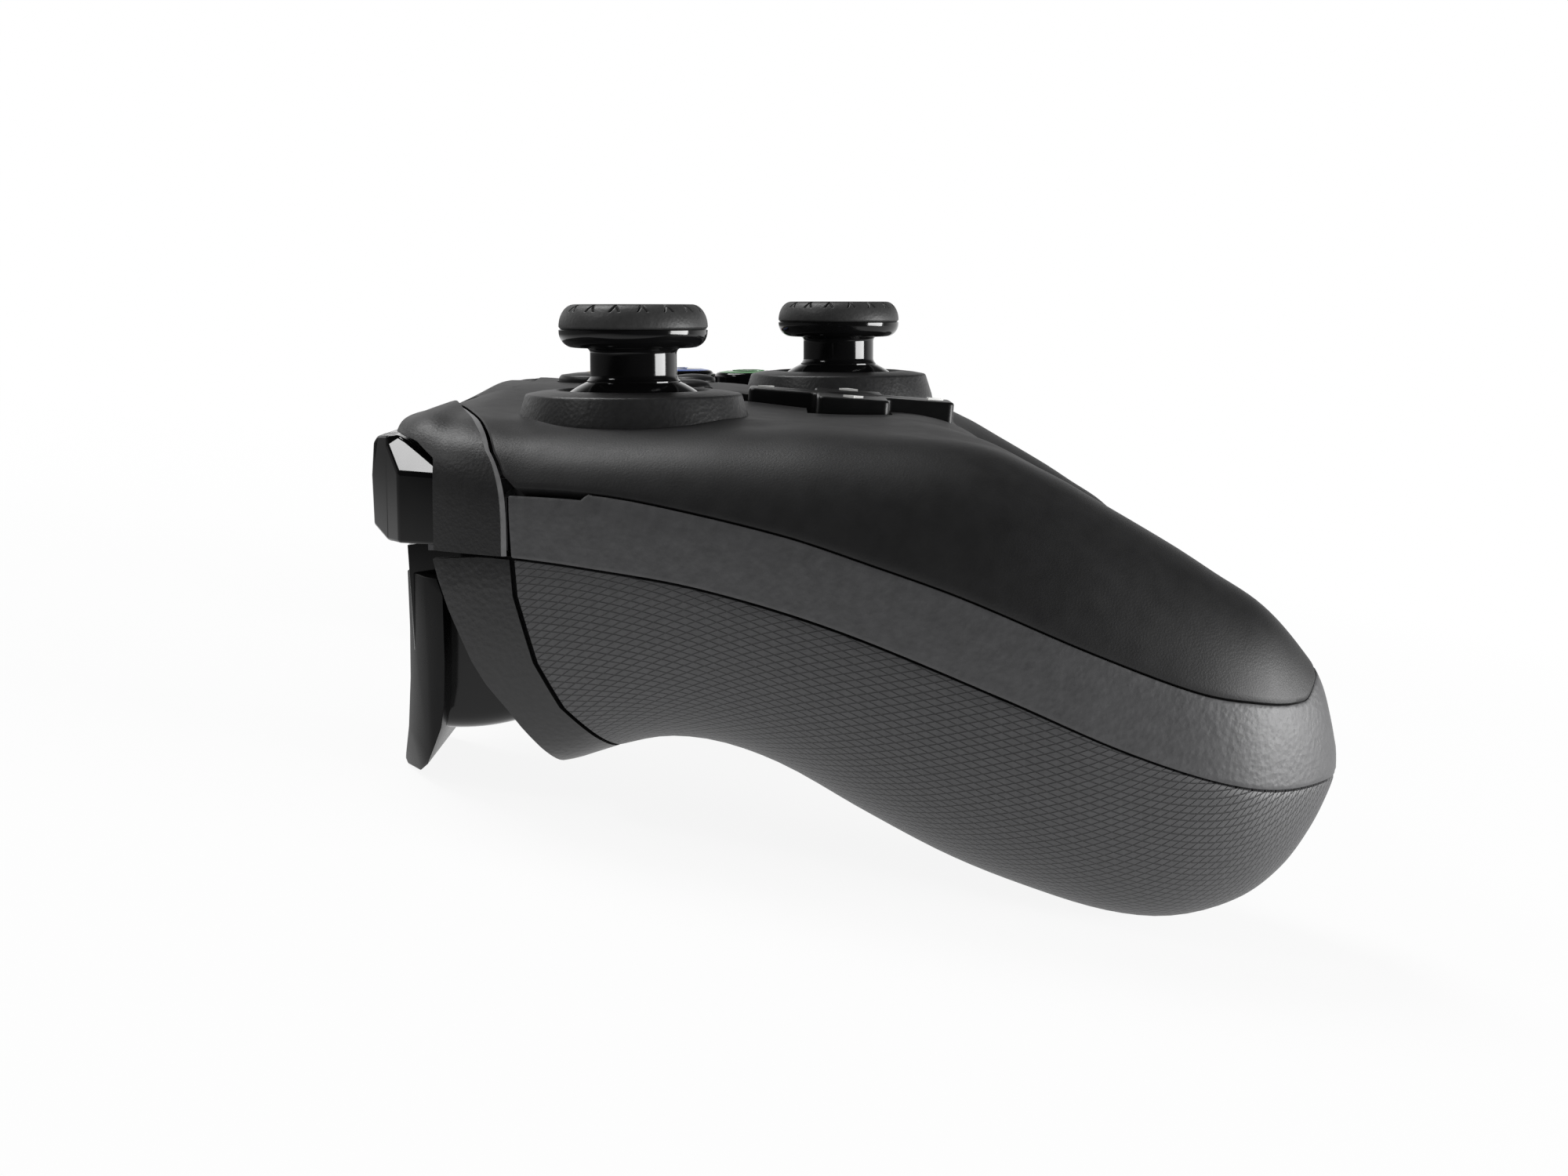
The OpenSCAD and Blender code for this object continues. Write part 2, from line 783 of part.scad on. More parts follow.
module trigger_bracket(side) {
    reach = cheek_gap + cheek;
    color("#3a3b3c")
        rest()
            at_side(side)
                difference() {
                    union() {
                        for (x = [trigger_in - reach, trigger_out + cheek_gap])
                            translate([x, pin_y - 6.5, pin_z - 3.1])
                                cube([cheek, 9.1, 6]);
                        translate([trigger_in - reach, pin_y - 6.5, pin_z - 0.9])
                            cube([trigger_out - trigger_in + 2 * reach, 1.8, 3.2]);
                    }
                    translate([0, pin_y, pin_z])
                        rotate([0, 90, 0])
                            cylinder(r = pin_r, h = 200, center = true);
                }
}
module trigger_bracket_left() {
    trigger_bracket(-1);
}
module trigger_bracket_right() {
    trigger_bracket(1);
}

// direction pad on a small two-way rocker
rocker = [6.4, 6.8, 3];
lug_t = 1.6;
module dpad() {
    low = dpad_rise - 2.4;
    color("#161617")
        rest()
            at_dpad() {
                translate([0, 0, low])
                    linear_extrude(4.15)
                        cross(0);
                translate([0, 0, low + 4.15])
                    linear_extrude(0.4, scale = 0.965)
                        cross(0);
                for (s = [-1, 1])
                    translate([-1.6, s * (rocker.y / 2 + 0.4 + lug_t / 2) - lug_t / 2, -1.6])
                        cube([3.2, lug_t, low + 2]);
                rotate([90, 0, 0])
                    cylinder(r = cross_r, h = rocker.y + 0.8 + 2 * lug_t, center = true);
            }
}
module dpad_rocker() {
    color("#8b8d90")
        rest()
            at_dpad()
                difference() {
                    union() {
                        cube(rocker, center = true);
                        rotate([0, 90, 0])
                            cylinder(r = cross_r, h = rocker.x + 5.6, center = true);
                    }
                    rotate([90, 0, 0])
                        cylinder(r = cross_r + fit, h = 20, center = true);
                }
}
module dpad_mount() {
    color("#4a4c4e")
        rest()
            difference() {
                for (s = [-1, 1])
                    translate([dpad_at.x + s * (rocker.x / 2 + 1.8) - 1.2, dpad_at.y - 2, deck_top])
                        cube([2.4, 4, dpad_at.z - deck_top + 1.45]);
                translate(dpad_at)
                    rotate([0, 90, 0])
                        cylinder(r = cross_r + fit, h = 40, center = true);
            }
}

// buttons with a flange under the top shell
module push_button(place, r, top, tint) {
    color(tint)
        rest()
            translate(place)
                rotate_extrude()
                    polygon([[0, -button_foot], [r + 0.9, -button_foot], [r + 0.9, -button_foot + 0.8],
                        [r, -button_foot + 0.8], [r, top - 1.1], [r - 0.4, top - 0.5], [r * 0.62, top - 0.12],
                        [0, top]]);
}
module button_front() {
    push_button(button_at(0), button_r, 2.4, "#3b3a2c");
}
module button_back() {
    push_button(button_at(1), button_r, 2.4, "#2c3b2e");
}
module button_inner() {
    push_button(button_at(2), button_r, 2.4, "#2c3140");
}
module button_outer() {
    push_button(button_at(3), button_r, 2.4, "#3f2c2c");
}
module home_button() {
    push_button(home_at, home_r, 1.2, "#262a27");
}
module view_button() {
    push_button(small_at(-1), small_r, 1, "#1b1b1c");
}
module menu_button() {
    push_button(small_at(1), small_r, 1, "#1b1b1c");
}

// boards and membrane
deck_places = [[-33, -20, 27, 24], [-15, 1, 31, 31], [13, 3, 43, 27]];
module deck_outline() {
    for (b = deck_places)
        translate([b[0], b[1]])
            square([b[2], b[3]]);
}
module button_board() {
    color("#2f5d3a")
        rest()
            translate([0, 0, deck_top - deck_t])
                linear_extrude(deck_t)
                    difference() {
                        deck_outline();
                        for (p = posts)
                            translate(p)
                                circle(r = post_r + 0.4);
                    }
}
module pad_at(place, r, travel) {
    translate([place.x, place.y, deck_top])
        cylinder(r = r, h = place.z - button_foot - travel - 0.15 - deck_top);
}
module button_membrane() {
    color("#6d6f72")
        rest() {
            translate([0, 0, deck_top])
                linear_extrude(0.8)
                    difference() {
                        union() {
                            translate([-14, 9])
                                square([28, 22]);
                            translate([14, 4])
                                square([41, 25]);
                        }
                        for (p = posts)
                            translate(p)
                                circle(r = post_r + 0.4);
                    }
            for (k = [0:3])
                pad_at(button_at(k), 3.4, button_travel);
            pad_at(home_at, 3.4, home_travel);
            pad_at(small_at(-1), 2, home_travel);
            pad_at(small_at(1), 2, home_travel);
        }
}
stands = [[-27, 0], [4, 6], [50, 24], [-2, 27]];
module main_board() {
    color("#2a4f34")
        rest() {
            translate([0, 0, board_top - board_t])
                linear_extrude(board_t)
                    difference() {
                        union() {
                            translate([-52.5, 5])
                                square([105, 21]);
                            translate([-28, -17])
                                square([56, 50]);
                        }
                        for (p = posts)
                            translate(p)
                                circle(r = post_r + 0.3);
                    }
            for (p = stands)
                translate([p.x, p.y, board_top])
                    cylinder(r = 1.6, h = deck_top - deck_t - board_top);
        }
}
spindle_r = 0.9;
spindle_in = 6;
module motor(side) {
    color("#9a9c9e")
        rest()
            at_side(side)
                motor_axis()
                    difference() {
                        cylinder(r = motor_r, h = motor_len);
                        translate([0, 0, -1])
                            cylinder(r = spindle_r + fit, h = spindle_in + 1.5);
                    }
}
module motor_left() {
    motor(-1);
}
module motor_right() {
    motor(1);
}
module weight(side) {
    thick = 5.5;
    color("#77797c")
        rest()
            at_side(side)
                motor_axis()
                    translate([0, 0, -1 - thick])
                        rotate([0, 0, rest_pitch]) {
                            cylinder(r = 2.2, h = thick);
                            intersection() {
                                cylinder(r = weight_r, h = thick);
                                translate([0, -weight_r, 0])
                                    cube([weight_r, 2 * weight_r, thick]);
                            }
                            cylinder(r = spindle_r, h = thick + 1 + spindle_in);
                        }
}
module weight_left() {
    weight(-1);
}
module weight_right() {
    weight(1);
}
module jack_socket() {
    color("#161617")
        rest()
            difference() {
                translate([-jack_w / 2, jack_y, jack_z - jack_w / 2])
                    cube([jack_w, 14, jack_w]);
                translate([0, jack_y + 12, jack_z])
                    rotate([90, 0, 0])
                        cylinder(r = jack_bore, h = 14);
            }
}
module cable_socket() {
    color("#a9abad")
        rest()
            difference() {
                translate([-cable_w / 2, lip_front - 8, cable_z - cable_h / 2])
                    cube([cable_w, 7.6, cable_h]);
                translate([-cable_w / 2 + 0.8, lip_front - 6.5, cable_z - cable_h / 2 + 0.8])
                    cube([cable_w - 1.6, 10, cable_h - 1.6]);
            }
}
module case_screws() {
    color("#8d8f91")
        rest()
            for (p = posts)
                translate([p.x, p.y, belly_z(p.x, p.y)]) {
                    translate([0, 0, 1.4])
                        cylinder(r = screw_head, h = 1.6);
                    translate([0, 0, 2])
                        cylinder(r = screw_r, h = post_foot + 7 - belly_z(p.x, p.y));
                }
}

face_plate();
side_band();
rear_cover();
grip_left();
grip_right();
collar_left();
collar_right();
front_bridge();
stick_ring_left();
stick_ring_right();
stick_module_left();
stick_module_right();
stick_gimbal_left();
stick_gimbal_right();
stick_shaft_left();
stick_shaft_right();
stick_post_left();
stick_post_right();
stick_cap_left();
stick_cap_right();
bumper_left();
bumper_right();
trigger_left();
trigger_right();
trigger_pin_left();
trigger_pin_right();
trigger_bracket_left();
trigger_bracket_right();
dpad();
dpad_rocker();
dpad_mount();
button_front();
button_back();
button_inner();
button_outer();
home_button();
view_button();
menu_button();
button_board();
button_membrane();
main_board();
motor_left();
motor_right();
weight_left();
weight_right();
jack_socket();
cable_socket();
case_screws();
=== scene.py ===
# %% [markdown]
# # A gamepad, dressed around its imported parts
# The construction comes first: the imported model is loaded as a fixed frame, in metres.
# Everything made here is a finer skin for those parts. The solids stay behind it, and the moving pieces ride on
# their bodies.

# %% Load the frame
import math
from contextlib import contextmanager

import bpy
import numpy as np
from mathutils import Matrix, Vector
from mathutils.bvhtree import BVHTree


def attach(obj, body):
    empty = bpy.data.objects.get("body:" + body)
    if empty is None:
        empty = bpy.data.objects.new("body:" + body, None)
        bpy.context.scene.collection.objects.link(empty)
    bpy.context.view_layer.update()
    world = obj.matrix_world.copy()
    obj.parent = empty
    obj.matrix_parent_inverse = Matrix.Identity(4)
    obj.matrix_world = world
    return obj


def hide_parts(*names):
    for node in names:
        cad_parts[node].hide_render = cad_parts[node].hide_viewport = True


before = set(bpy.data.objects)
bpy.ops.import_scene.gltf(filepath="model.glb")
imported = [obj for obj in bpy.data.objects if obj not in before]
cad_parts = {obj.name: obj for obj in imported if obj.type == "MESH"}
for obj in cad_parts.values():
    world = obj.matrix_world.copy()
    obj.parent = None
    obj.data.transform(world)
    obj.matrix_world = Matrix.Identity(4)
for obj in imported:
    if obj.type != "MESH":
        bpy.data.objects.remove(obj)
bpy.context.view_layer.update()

# %% [markdown]
# The pad is drawn with its face level, in millimetres, and then laid on its handles and trigger tips. One matrix
# holds that pose, so a piece can be modelled in the easy upright frame and settled afterwards.

# %% The resting pose
MM = 0.001
REST_PITCH = math.radians(9.6)
REST_LIFT = 47.585
REST_SHIFT = 10.9
FACE = (Matrix.Translation((0, REST_SHIFT * MM, REST_LIFT * MM))
        @ Matrix.Rotation(-REST_PITCH, 4, "X"))
FACE_ROWS = np.array(FACE.to_3x3())
FACE_AT = np.array(FACE.translation)


def row(points):
    """Millimetres in the level frame to metres in the row frame."""
    return np.asarray(points, float) * MM @ FACE_ROWS.T + FACE_AT


# %% [markdown]
# The camera stands low at the left end and looks along the pad, tipped down a little. The view is framed with the
# face level, so in the resting pose the camera leans by the same pitch. A 50 mm lens gives the strong
# perspective between the near and the far stick.

# %% Camera
CAMERA_AT = (-301.5, 0, 14)
CAMERA_DOWN = math.radians(7.6)
LENS, SENSOR = 50, 36
camera_data = bpy.data.cameras.new("camera")
camera_data.lens, camera_data.sensor_width = LENS, SENSOR
camera_data.clip_start = 0.01
camera = bpy.data.objects.new("camera", camera_data)
bpy.context.collection.objects.link(camera)
ahead = Vector((math.cos(CAMERA_DOWN), 0, -math.sin(CAMERA_DOWN)))
right = Vector((0, -1, 0))
above = right.cross(ahead)
turn = Matrix((right, above, -ahead)).transposed().to_4x4()
camera.matrix_world = FACE @ Matrix.Translation(Vector(CAMERA_AT) * MM) @ turn
bpy.context.scene.camera = camera
print("camera at", [round(c, 3) for c in camera.matrix_world.translation])

# %% [markdown]
# A black object on white needs two things from the light: broad soft boxes whose reflections draw the curves, and
# a background that is white to the eye but doesn't flood the black plastic. Light Path's rays part the two.

# %% Studio
scene = bpy.context.scene
scene.view_settings.view_transform = "Standard"
FILL = 0.3
FLOOR_GLOW = 0.95


def add_node(tree, kind, values=None, **settings):
    """A shader node. Each value is a number for an input, or another node's output to link there."""
    node = tree.nodes.new("ShaderNode" + kind)
    for key, value in settings.items():
        setattr(node, key, value)
    for key, value in (values or {}).items():
        if isinstance(value, bpy.types.NodeSocket):
            tree.links.new(value, node.inputs[key])
        else:
            node.inputs[key].default_value = value
    return node


def math_of(tree, operation, a, b):
    return add_node(tree, "Math", {0: a, 1: b}, operation=operation).outputs[0]


def blend(tree, share, a, b):
    return add_node(tree, "Mix", {"Factor": share, "A": a, "B": b}).outputs[0]


def seen_rays(tree):
    """1 for rays that see the background (camera, glossy, transmission), and 1 for the camera's alone."""
    path = add_node(tree, "LightPath").outputs
    total = path["Is Camera Ray"]
    for ray in ("Is Glossy Ray", "Is Transmission Ray"):
        total = math_of(tree, "MAXIMUM", total, path[ray])
    return total, path["Is Camera Ray"]


def fade(tree, value, low, high, at_low, at_high):
    span = {"Value": value, "From Min": low, "From Max": high, "To Min": at_low, "To Max": at_high}
    return add_node(tree, "MapRange", span, interpolation_type="SMOOTHSTEP").outputs[0]


def make_world():
    """White all round to the eye. Gloss sees a white backdrop behind the pad, and a dim room over and before it."""
    world = bpy.data.worlds.new("studio")
    scene.world = world
    world.use_nodes = True
    tree = world.node_tree
    ground = tree.nodes["Background"].inputs
    ground["Color"].default_value = (1, 1, 1, 1)
    seen, eye = seen_rays(tree)
    way = add_node(tree, "SeparateXYZ", {0: add_node(tree, "TexCoord").outputs["Generated"]}).outputs
    ceiling = fade(tree, way["Z"], 0.12, 0.5, 1.0, 0.05)
    room = fade(tree, way["X"], -0.1, 0.6, 0.03, 1.0)
    backdrop = math_of(tree, "MAXIMUM", math_of(tree, "MULTIPLY", ceiling, room), eye)
    tree.links.new(blend(tree, seen, FILL, backdrop), ground["Strength"])


def make_floor():
    """A pale table that glows like a light table. Near the pad it keeps a soft shadow, further off it is white."""
    bpy.ops.mesh.primitive_plane_add(size=6, location=(0, 0, -0.0002))
    floor = bpy.context.object
    floor.name = "floor"
    paper = bpy.data.materials.new("floor_paper")
    paper.use_nodes = True
    tree = paper.node_tree
    tree.nodes.clear()
    matte = add_node(tree, "BsdfDiffuse", {"Color": (0.86, 0.86, 0.86, 1)}).outputs[0]
    spot = add_node(tree, "TexCoord").outputs["Object"]
    far = add_node(tree, "VectorMath", {0: spot}, operation="LENGTH").outputs["Value"]
    seen, eye = seen_rays(tree)
    share = blend(tree, seen, FLOOR_GLOW, fade(tree, far, 0.1, 0.4, 0.9, 1.0))
    way = add_node(tree, "SeparateXYZ", {0: spot}).outputs
    sided = math_of(tree, "MULTIPLY", fade(tree, way["X"], -0.3, -0.06, 0.03, 1.0),
                    fade(tree, way["Y"], 0.1, 0.2, 1.0, 0.15))
    strength = blend(tree, seen, 1.0, math_of(tree, "MAXIMUM", sided, eye))
    glow = add_node(tree, "Emission", {"Strength": strength}).outputs[0]
    mix = add_node(tree, "MixShader", {0: share, 1: matte, 2: glow}).outputs[0]
    add_node(tree, "OutputMaterial", {"Surface": mix})
    floor.data.materials.append(paper)


def soft_box(name, at, aim, size, power):
    lamp = bpy.data.lights.new(name, "AREA")
    lamp.shape = "RECTANGLE"
    lamp.size, lamp.size_y = size
    lamp.energy = power
    box = bpy.data.objects.new(name, lamp)
    box.location = at
    box.rotation_euler = (Vector(aim) - Vector(at)).to_track_quat("-Z", "Y").to_euler()
    bpy.context.collection.objects.link(box)


bpy.ops.object.select_all(action="DESELECT")
make_world()
make_floor()
soft_box("box_above", (0.21, 0.35, 0.58), (-0.03, 0.03, 0.04), (0.32, 0.3), 2.9)
soft_box("box_right", (-0.15, -0.56, 0.11), (-0.04, 0, 0.05), (0.36, 0.16), 4.2)
soft_box("box_left", (-0.216, 0.516, 0.385), (-0.056, 0.051, 0.036), (0.14, 0.07), 0.6)

# %% [markdown]
# The moulded housing is one smooth body: a stadium-like section, swept from the middle out to each handle tip.
# Four measured lines give its shape: the outline from above, the face level, the underside and the widest line.
# The same lines are used in the solids; here they are sampled finely enough to render without facets.

# %% The housing's lines
OUTLINE = [[0, 47], [19, 49.5], [37, 51], [52, 49], [61.2, 40], [66.2, 27.5], [71, 6], [75, -15], [76, -34],
           [72, -51], [59.5, -62.6], [50.5, -57], [45, -49], [41.5, -42.5], [38.5, -38], [35, -34.5],
           [31, -31.8], [26, -29.8], [19, -28.8], [10, -28.5], [0, -28.5]]
FACE_LINE = [[-62.7, -38.3], [-62.2, -35.5], [-60.3, -28.8], [-57.5, -24.5], [-53.1, -19.8], [-47.7, -16.2],
             [-43.4, -13.4], [-34.7, -8.3], [-30.3, -5.8], [-22, -2.3], [-8, -0.8], [5, 0.1], [18, 0],
             [30, 0.2], [36, 0.8], [44, 1.2], [52, 1.4]]
UNDER_LINE = [[-62.7, -38.3], [-61.5, -41.2], [-59.1, -45.4], [-55.6, -49.6], [-50.5, -53], [-43.3, -54.9],
              [-36.1, -54.4], [-27, -51.8], [-18, -48.4], [-9, -43.9], [0, -39], [7, -36.6], [13, -36.1],
              [18.3, -37.1], [25.5, -39.4], [32, -39.4], [52, -37]]
BELLY_LINE = [[-30, -34], [-10, -33.5], [20, -33], [36, -31], [52, -29]]
WAIST_LINE = [[-62.7, -38.3], [-55, -37], [-42, -34], [-22, -25.6], [0, -17.2], [14, -14.2], [30, -12.4],
              [52, -12.4]]
SQUARE_LINE = [[0, 4.2], [3, 6.2], [4, 4.8], [5, 3.3], [7, 2.6], [9, 2.3], [10, 2.1]]


def line_at(knots, u):
    """A smooth line through knots, cubic between them and flat beyond the ends."""
    x, y = np.array(knots, float).T
    slope = np.empty(len(x))
    slope[1:-1] = (y[2:] - y[:-2]) / (x[2:] - x[:-2])
    slope[0] = (y[1] - y[0]) / (x[1] - x[0])
    slope[-1] = (y[-1] - y[-2]) / (x[-1] - x[-2])
    u = np.clip(u, x[0], x[-1])
    i = np.clip(np.searchsorted(x, u, side="right") - 1, 0, len(x) - 2)
    w = x[i + 1] - x[i]
    t = (u - x[i]) / w
    return (y[i] * (2 * t ** 3 - 3 * t ** 2 + 1) + slope[i] * w * (t ** 3 - 2 * t ** 2 + t)
            + y[i + 1] * (3 * t ** 2 - 2 * t ** 3) + slope[i + 1] * w * (t ** 3 - t ** 2))


def ease(t):
    t = np.clip(t, 0, 1)
    return t * t * (3 - 2 * t)


def rim_at(u):
    """The outline seen from above, as a Catmull-Rom curve through its knots."""
    knots = np.array([[-OUTLINE[1][0], OUTLINE[1][1]]] + OUTLINE + [[-OUTLINE[-2][0], OUTLINE[-2][1]]], float)
    i = np.clip(np.floor(u).astype(int), 0, len(OUTLINE) - 2)
    t = (u - i)[..., None]
    a, b, c, d = knots[i], knots[i + 1], knots[i + 2], knots[i + 3]
    return 0.5 * (2 * b + (c - a) * t + (2 * a - 5 * b + 4 * c - d) * t ** 2 + (3 * b - a - 3 * c + d) * t ** 3)


def crown_at(x, y):
    """The face swells a little between the sticks."""
    return 2.6 * np.maximum(0, 1 - (x / 52) ** 2) ** 2 * ease((y + 15) / 35) * (1 - ease((y - 35) / 9))


def face_at(x, y):
    """The face level: its line in depth, two swellings, and a slight fall to the outer shoulder."""
    across = np.abs(x)
    fall = 0.5 * ease((across - 50) / 6) * ease((y + 4) / 8) * (1 - ease((y - 28) / 8))
    wide = ease((across - 4) / 18) * (1 - ease((across - 40) / 18))
    swell = 1.35 * wide * ease((y + 34) / 9) * (1 - ease((y + 20) / 20))
    return line_at(FACE_LINE, y) + crown_at(x, y) + swell - fall


def skin_at(s, a, depth=0.0):
    """Points on the housing: s runs 0 to 10 from middle to tip, a turns round the section in degrees."""
    side = np.where(s < 0, -1.0, 1.0)
    s = np.abs(s)
    outer, inner = rim_at(s), rim_at(2 * 10 - s)
    half = np.linalg.norm(inner - outer, axis=-1) / 2
    way = (inner - outer) / np.maximum(2 * half, 1e-9)[..., None]
    depth = np.minimum(depth, half * 0.45)
    half = half - depth
    power = line_at(SQUARE_LINE, s)
    turn = np.radians(a)
    across = np.sign(np.cos(turn)) * np.abs(np.cos(turn)) ** (0.5 + 1 / power)
    up = np.maximum(0, 1 - np.abs(across) ** power) ** (1 / power)
    spot = (outer + inner) / 2 - way * (half * across)[..., None]
    x, y = spot[..., 0], spot[..., 1]
    waist = line_at(WAIST_LINE, y)
    part = ease((np.abs(x) - 22) / 28)
    low = line_at(BELLY_LINE, y) * (1 - part) + line_at(UNDER_LINE, y) * part
    rise = np.maximum(face_at(x, y) - depth - waist, 0.1)
    drop = np.maximum(waist - low - depth, 0.1)
    z = np.where(np.sin(turn) >= 0, waist + rise * up, waist - drop * up)
    return np.stack([x * side, y, z], axis=-1)


print("face level in the middle:", round(float(face_at(np.array(0.0), np.array(20.0))), 2), "mm")

# %% [markdown]
# Finishes come before shapes, so that each piece can be dressed when it is made. Black plastic isn't one colour:
# the face is smooth and matte, the side band and the collars have a moulded grain, the grips a fine diamond net,
# the bumpers and the cross are polished. Each finish is a small node tree, read in Object coordinates (metres).

# %% Helpers for finishes
def press(tree, height, strength, distance):
    """A bump on the normal of the shader."""
    relief = add_node(tree, "Bump", {"Strength": strength, "Distance": distance, "Height": height})
    tree.links.new(relief.outputs[0], tree.nodes["Principled BSDF"].inputs["Normal"])


def add_grain(tree, spot, depth, size):
    """Fine moulded grain: small soft cells with a little noise, as a bump."""
    cells = add_node(tree, "TexVoronoi", {"Vector": spot, "Scale": size, "Smoothness": 0.6}, feature="SMOOTH_F1")
    stir = add_node(tree, "TexNoise", {"Vector": spot, "Scale": size * 2.2, "Detail": 3})
    both = {0: stir.outputs["Fac"], 1: 0.5, 2: cells.outputs["Distance"]}
    press(tree, add_node(tree, "Math", both, operation="MULTIPLY_ADD").outputs[0], 0.6, depth)


def finish(name, color, rough, spread=0.12, grain=900, bump=None, rough_spread=0.06, metal=0.0, level=0.5):
    """A plastic or metal whose colour and gloss drift a little. A bump is a depth in metres and cells to the metre."""
    material = bpy.data.materials.new(name)
    material.use_nodes = True
    tree = material.node_tree
    shader = tree.nodes["Principled BSDF"].inputs
    shader["Metallic"].default_value = metal
    shader["Specular IOR Level"].default_value = level
    spot = add_node(tree, "TexCoord").outputs["Object"]
    drift = add_node(tree, "TexNoise", {"Vector": spot, "Scale": grain, "Detail": 4}).outputs["Fac"]
    tone = add_node(tree, "ValToRGB", {"Fac": drift})
    for stop, place, share in zip(tone.color_ramp.elements, (0.3, 0.7), (1 - spread, 1 + spread)):
        stop.position = place
        stop.color = [c * share for c in color] + [1]
    tree.links.new(tone.outputs["Color"], shader["Base Color"])
    gloss = {"Value": drift, "To Min": rough - rough_spread, "To Max": rough + rough_spread}
    tree.links.new(add_node(tree, "MapRange", gloss).outputs[0], shader["Roughness"])
    if bump:
        add_grain(tree, spot, *bump)
    return material


# %% The plastics, rubbers and metals
SHELL_BLACK = finish("shell_black", (0.014, 0.014, 0.0144), 0.5, grain=400, bump=(0.00002, 4200), level=0.3)
BAND_GREY = finish("band_grey", (0.06, 0.06, 0.062), 0.46, grain=700, bump=(0.00007, 1500), level=0.35)
COLLAR_SATIN = finish("collar_satin", (0.011, 0.011, 0.0114), 0.5, grain=900, bump=(0.00004, 2600), level=0.4)
# The collar's rear-edge bevel is painted a pale grey: a painted highlight for the light that bevel catches.
COLLAR_EDGE_PAINTED_HIGHLIGHT = finish("collar_edge", (0.17, 0.17, 0.172), 0.42, grain=900, level=0.4)
COVER_BLACK = finish("cover_black", (0.018, 0.018, 0.0185), 0.4, grain=900, bump=(0.00006, 1700), level=0.45)
RING_SATIN = finish("ring_satin", (0.019, 0.019, 0.0195), 0.42, grain=1200, bump=(0.00005, 2200), level=0.35)
GLOSS_BLACK = finish("gloss_black", (0.004, 0.004, 0.0042), 0.1, grain=300, rough_spread=0.03, level=0.32)
TRIGGER_BLACK = finish("trigger_black", (0.006, 0.006, 0.0062), 0.28, grain=500, rough_spread=0.04, level=0.09)
CROSS_BLACK = finish("cross_black", (0.006, 0.006, 0.0062), 0.36, grain=500, rough_spread=0.03, level=0.25)
CAP_RUBBER = finish("cap_rubber", (0.034, 0.034, 0.034), 0.48, grain=1500, bump=(0.00004, 2600), level=0.35)
BUTTON_GLOSS = finish("button_gloss", (0.005, 0.005, 0.0052), 0.1, grain=350, rough_spread=0.03, level=0.35)
BUTTON_MATTE = finish("button_matte", (0.012, 0.012, 0.0125), 0.4, grain=600, bump=(0.00002, 3000), level=0.3)
CASE_GREY = finish("case_grey", (0.09, 0.09, 0.095), 0.5, grain=500, bump=(0.00003, 2000))
ZINC = finish("zinc", (0.5, 0.5, 0.52), 0.38, grain=800, metal=1.0)
STEEL = finish("steel", (0.42, 0.42, 0.43), 0.3, grain=900, metal=1.0)
BOARD_GREEN = finish("board_green", (0.012, 0.07, 0.035), 0.45, grain=350)
MEMBRANE = finish("membrane", (0.2, 0.2, 0.2), 0.6, grain=600, bump=(0.00002, 2500))
SOCKET_BLACK = finish("socket_black", (0.012, 0.012, 0.013), 0.5, grain=700)
MARK_WHITE = finish("mark_white", (0.72, 0.72, 0.7), 0.4, grain=900, spread=0.05)
print("finishes:", len([m for m in bpy.data.materials if m.use_nodes]))

# %% [markdown]
# The housing parts meet at moulded seams. Two lines, given as height over depth, divide the skin into face plate,
# side band and lower shell; one plan line cuts off the front collars. Each part is a patch of the same smooth
# skin with a hair's gap to its neighbour, so the seams come out as real grooves.

# %% Seams
SEAM_TOP = [[-59.2, -27.5], [-57.3, -29.7], [-49.2, -28.8], [-43.5, -27.4], [-32.7, -23.2], [-18.7, -17.3],
            [-8.3, -13.7], [0, -11.1], [13.6, -8.1], [21, -7], [31, -6.6], [60, -6.6]]
SEAM_LOW = [[-66, -39.6], [-55.4, -39.4], [-47.2, -37.7], [-36.2, -33.8], [-23.2, -28.1], [-5.7, -21.2],
            [9.2, -17.1], [21.5, -15.2], [30, -14.3], [40, -13.8], [60, -13.8]]
FRONT_EDGE = [[0, 36.5], [14, 37.5], [21, 43], [38, 38.7], [62, 32.3], [72, 26]]
WING_FRONT = [[39.2, -13.8], [38.4, -16.8], [37.2, -20.2], [34.6, -26], [33.1, -28.5], [30.8, -31.4],
              [29.3, -33.6], [27.2, -36.4], [24.2, -40]]
WING_BACK = [[29.9, -12], [29.4, -18.4], [27.3, -25.8], [24.5, -31], [20.9, -34.8], [17, -38.5], [13, -46]]
GAP = 0.14
TIP_EDGE = 59.2
FACE_WALL, BAND_WALL, UNDER_WALL = 1.7, 1.8, 1.9
FAR_OUT = 80
RIM_DIP, RIM_SHOULDER, RIM_STEP = 0.17, 0.02, 0.3
TIP_SPAN = 1.2


def straight_at(knots, u):
    x, y = np.array(knots, float).T
    return np.interp(u, x, y)


def on_face(p):
    """Above zero where a skin point belongs to the face plate."""
    x, y, z = np.abs(p[..., 0]), p[..., 1], p[..., 2]
    return np.minimum.reduce([z - line_at(SEAM_TOP, y) - GAP, straight_at(FRONT_EDGE, x) - y - GAP, y + TIP_EDGE - GAP])


def on_under(p):
    """Above zero where a skin point lies below the lower seam."""
    return line_at(SEAM_LOW, p[..., 1]) - p[..., 2] - GAP


def first_angle(s, start, stop, inside):
    """For each station, the angle at which the section enters the wanted patch."""
    angles = np.linspace(start, stop, 500)
    values = inside(skin_at(*np.meshgrid(s, angles, indexing="ij")))
    hit = values > 0
    k = np.clip(hit.argmax(1), 1, None)
    rows = np.arange(len(s))
    v0, v1 = values[rows, k - 1], values[rows, k]
    share = np.clip(v0 / np.where(v0 == v1, 1, v0 - v1), 0, 1)
    angle = angles[k - 1] + (angles[k] - angles[k - 1]) * share
    angle = np.where(hit[:, 0], start, angle)
    return np.where(hit.any(1), angle, np.nan)


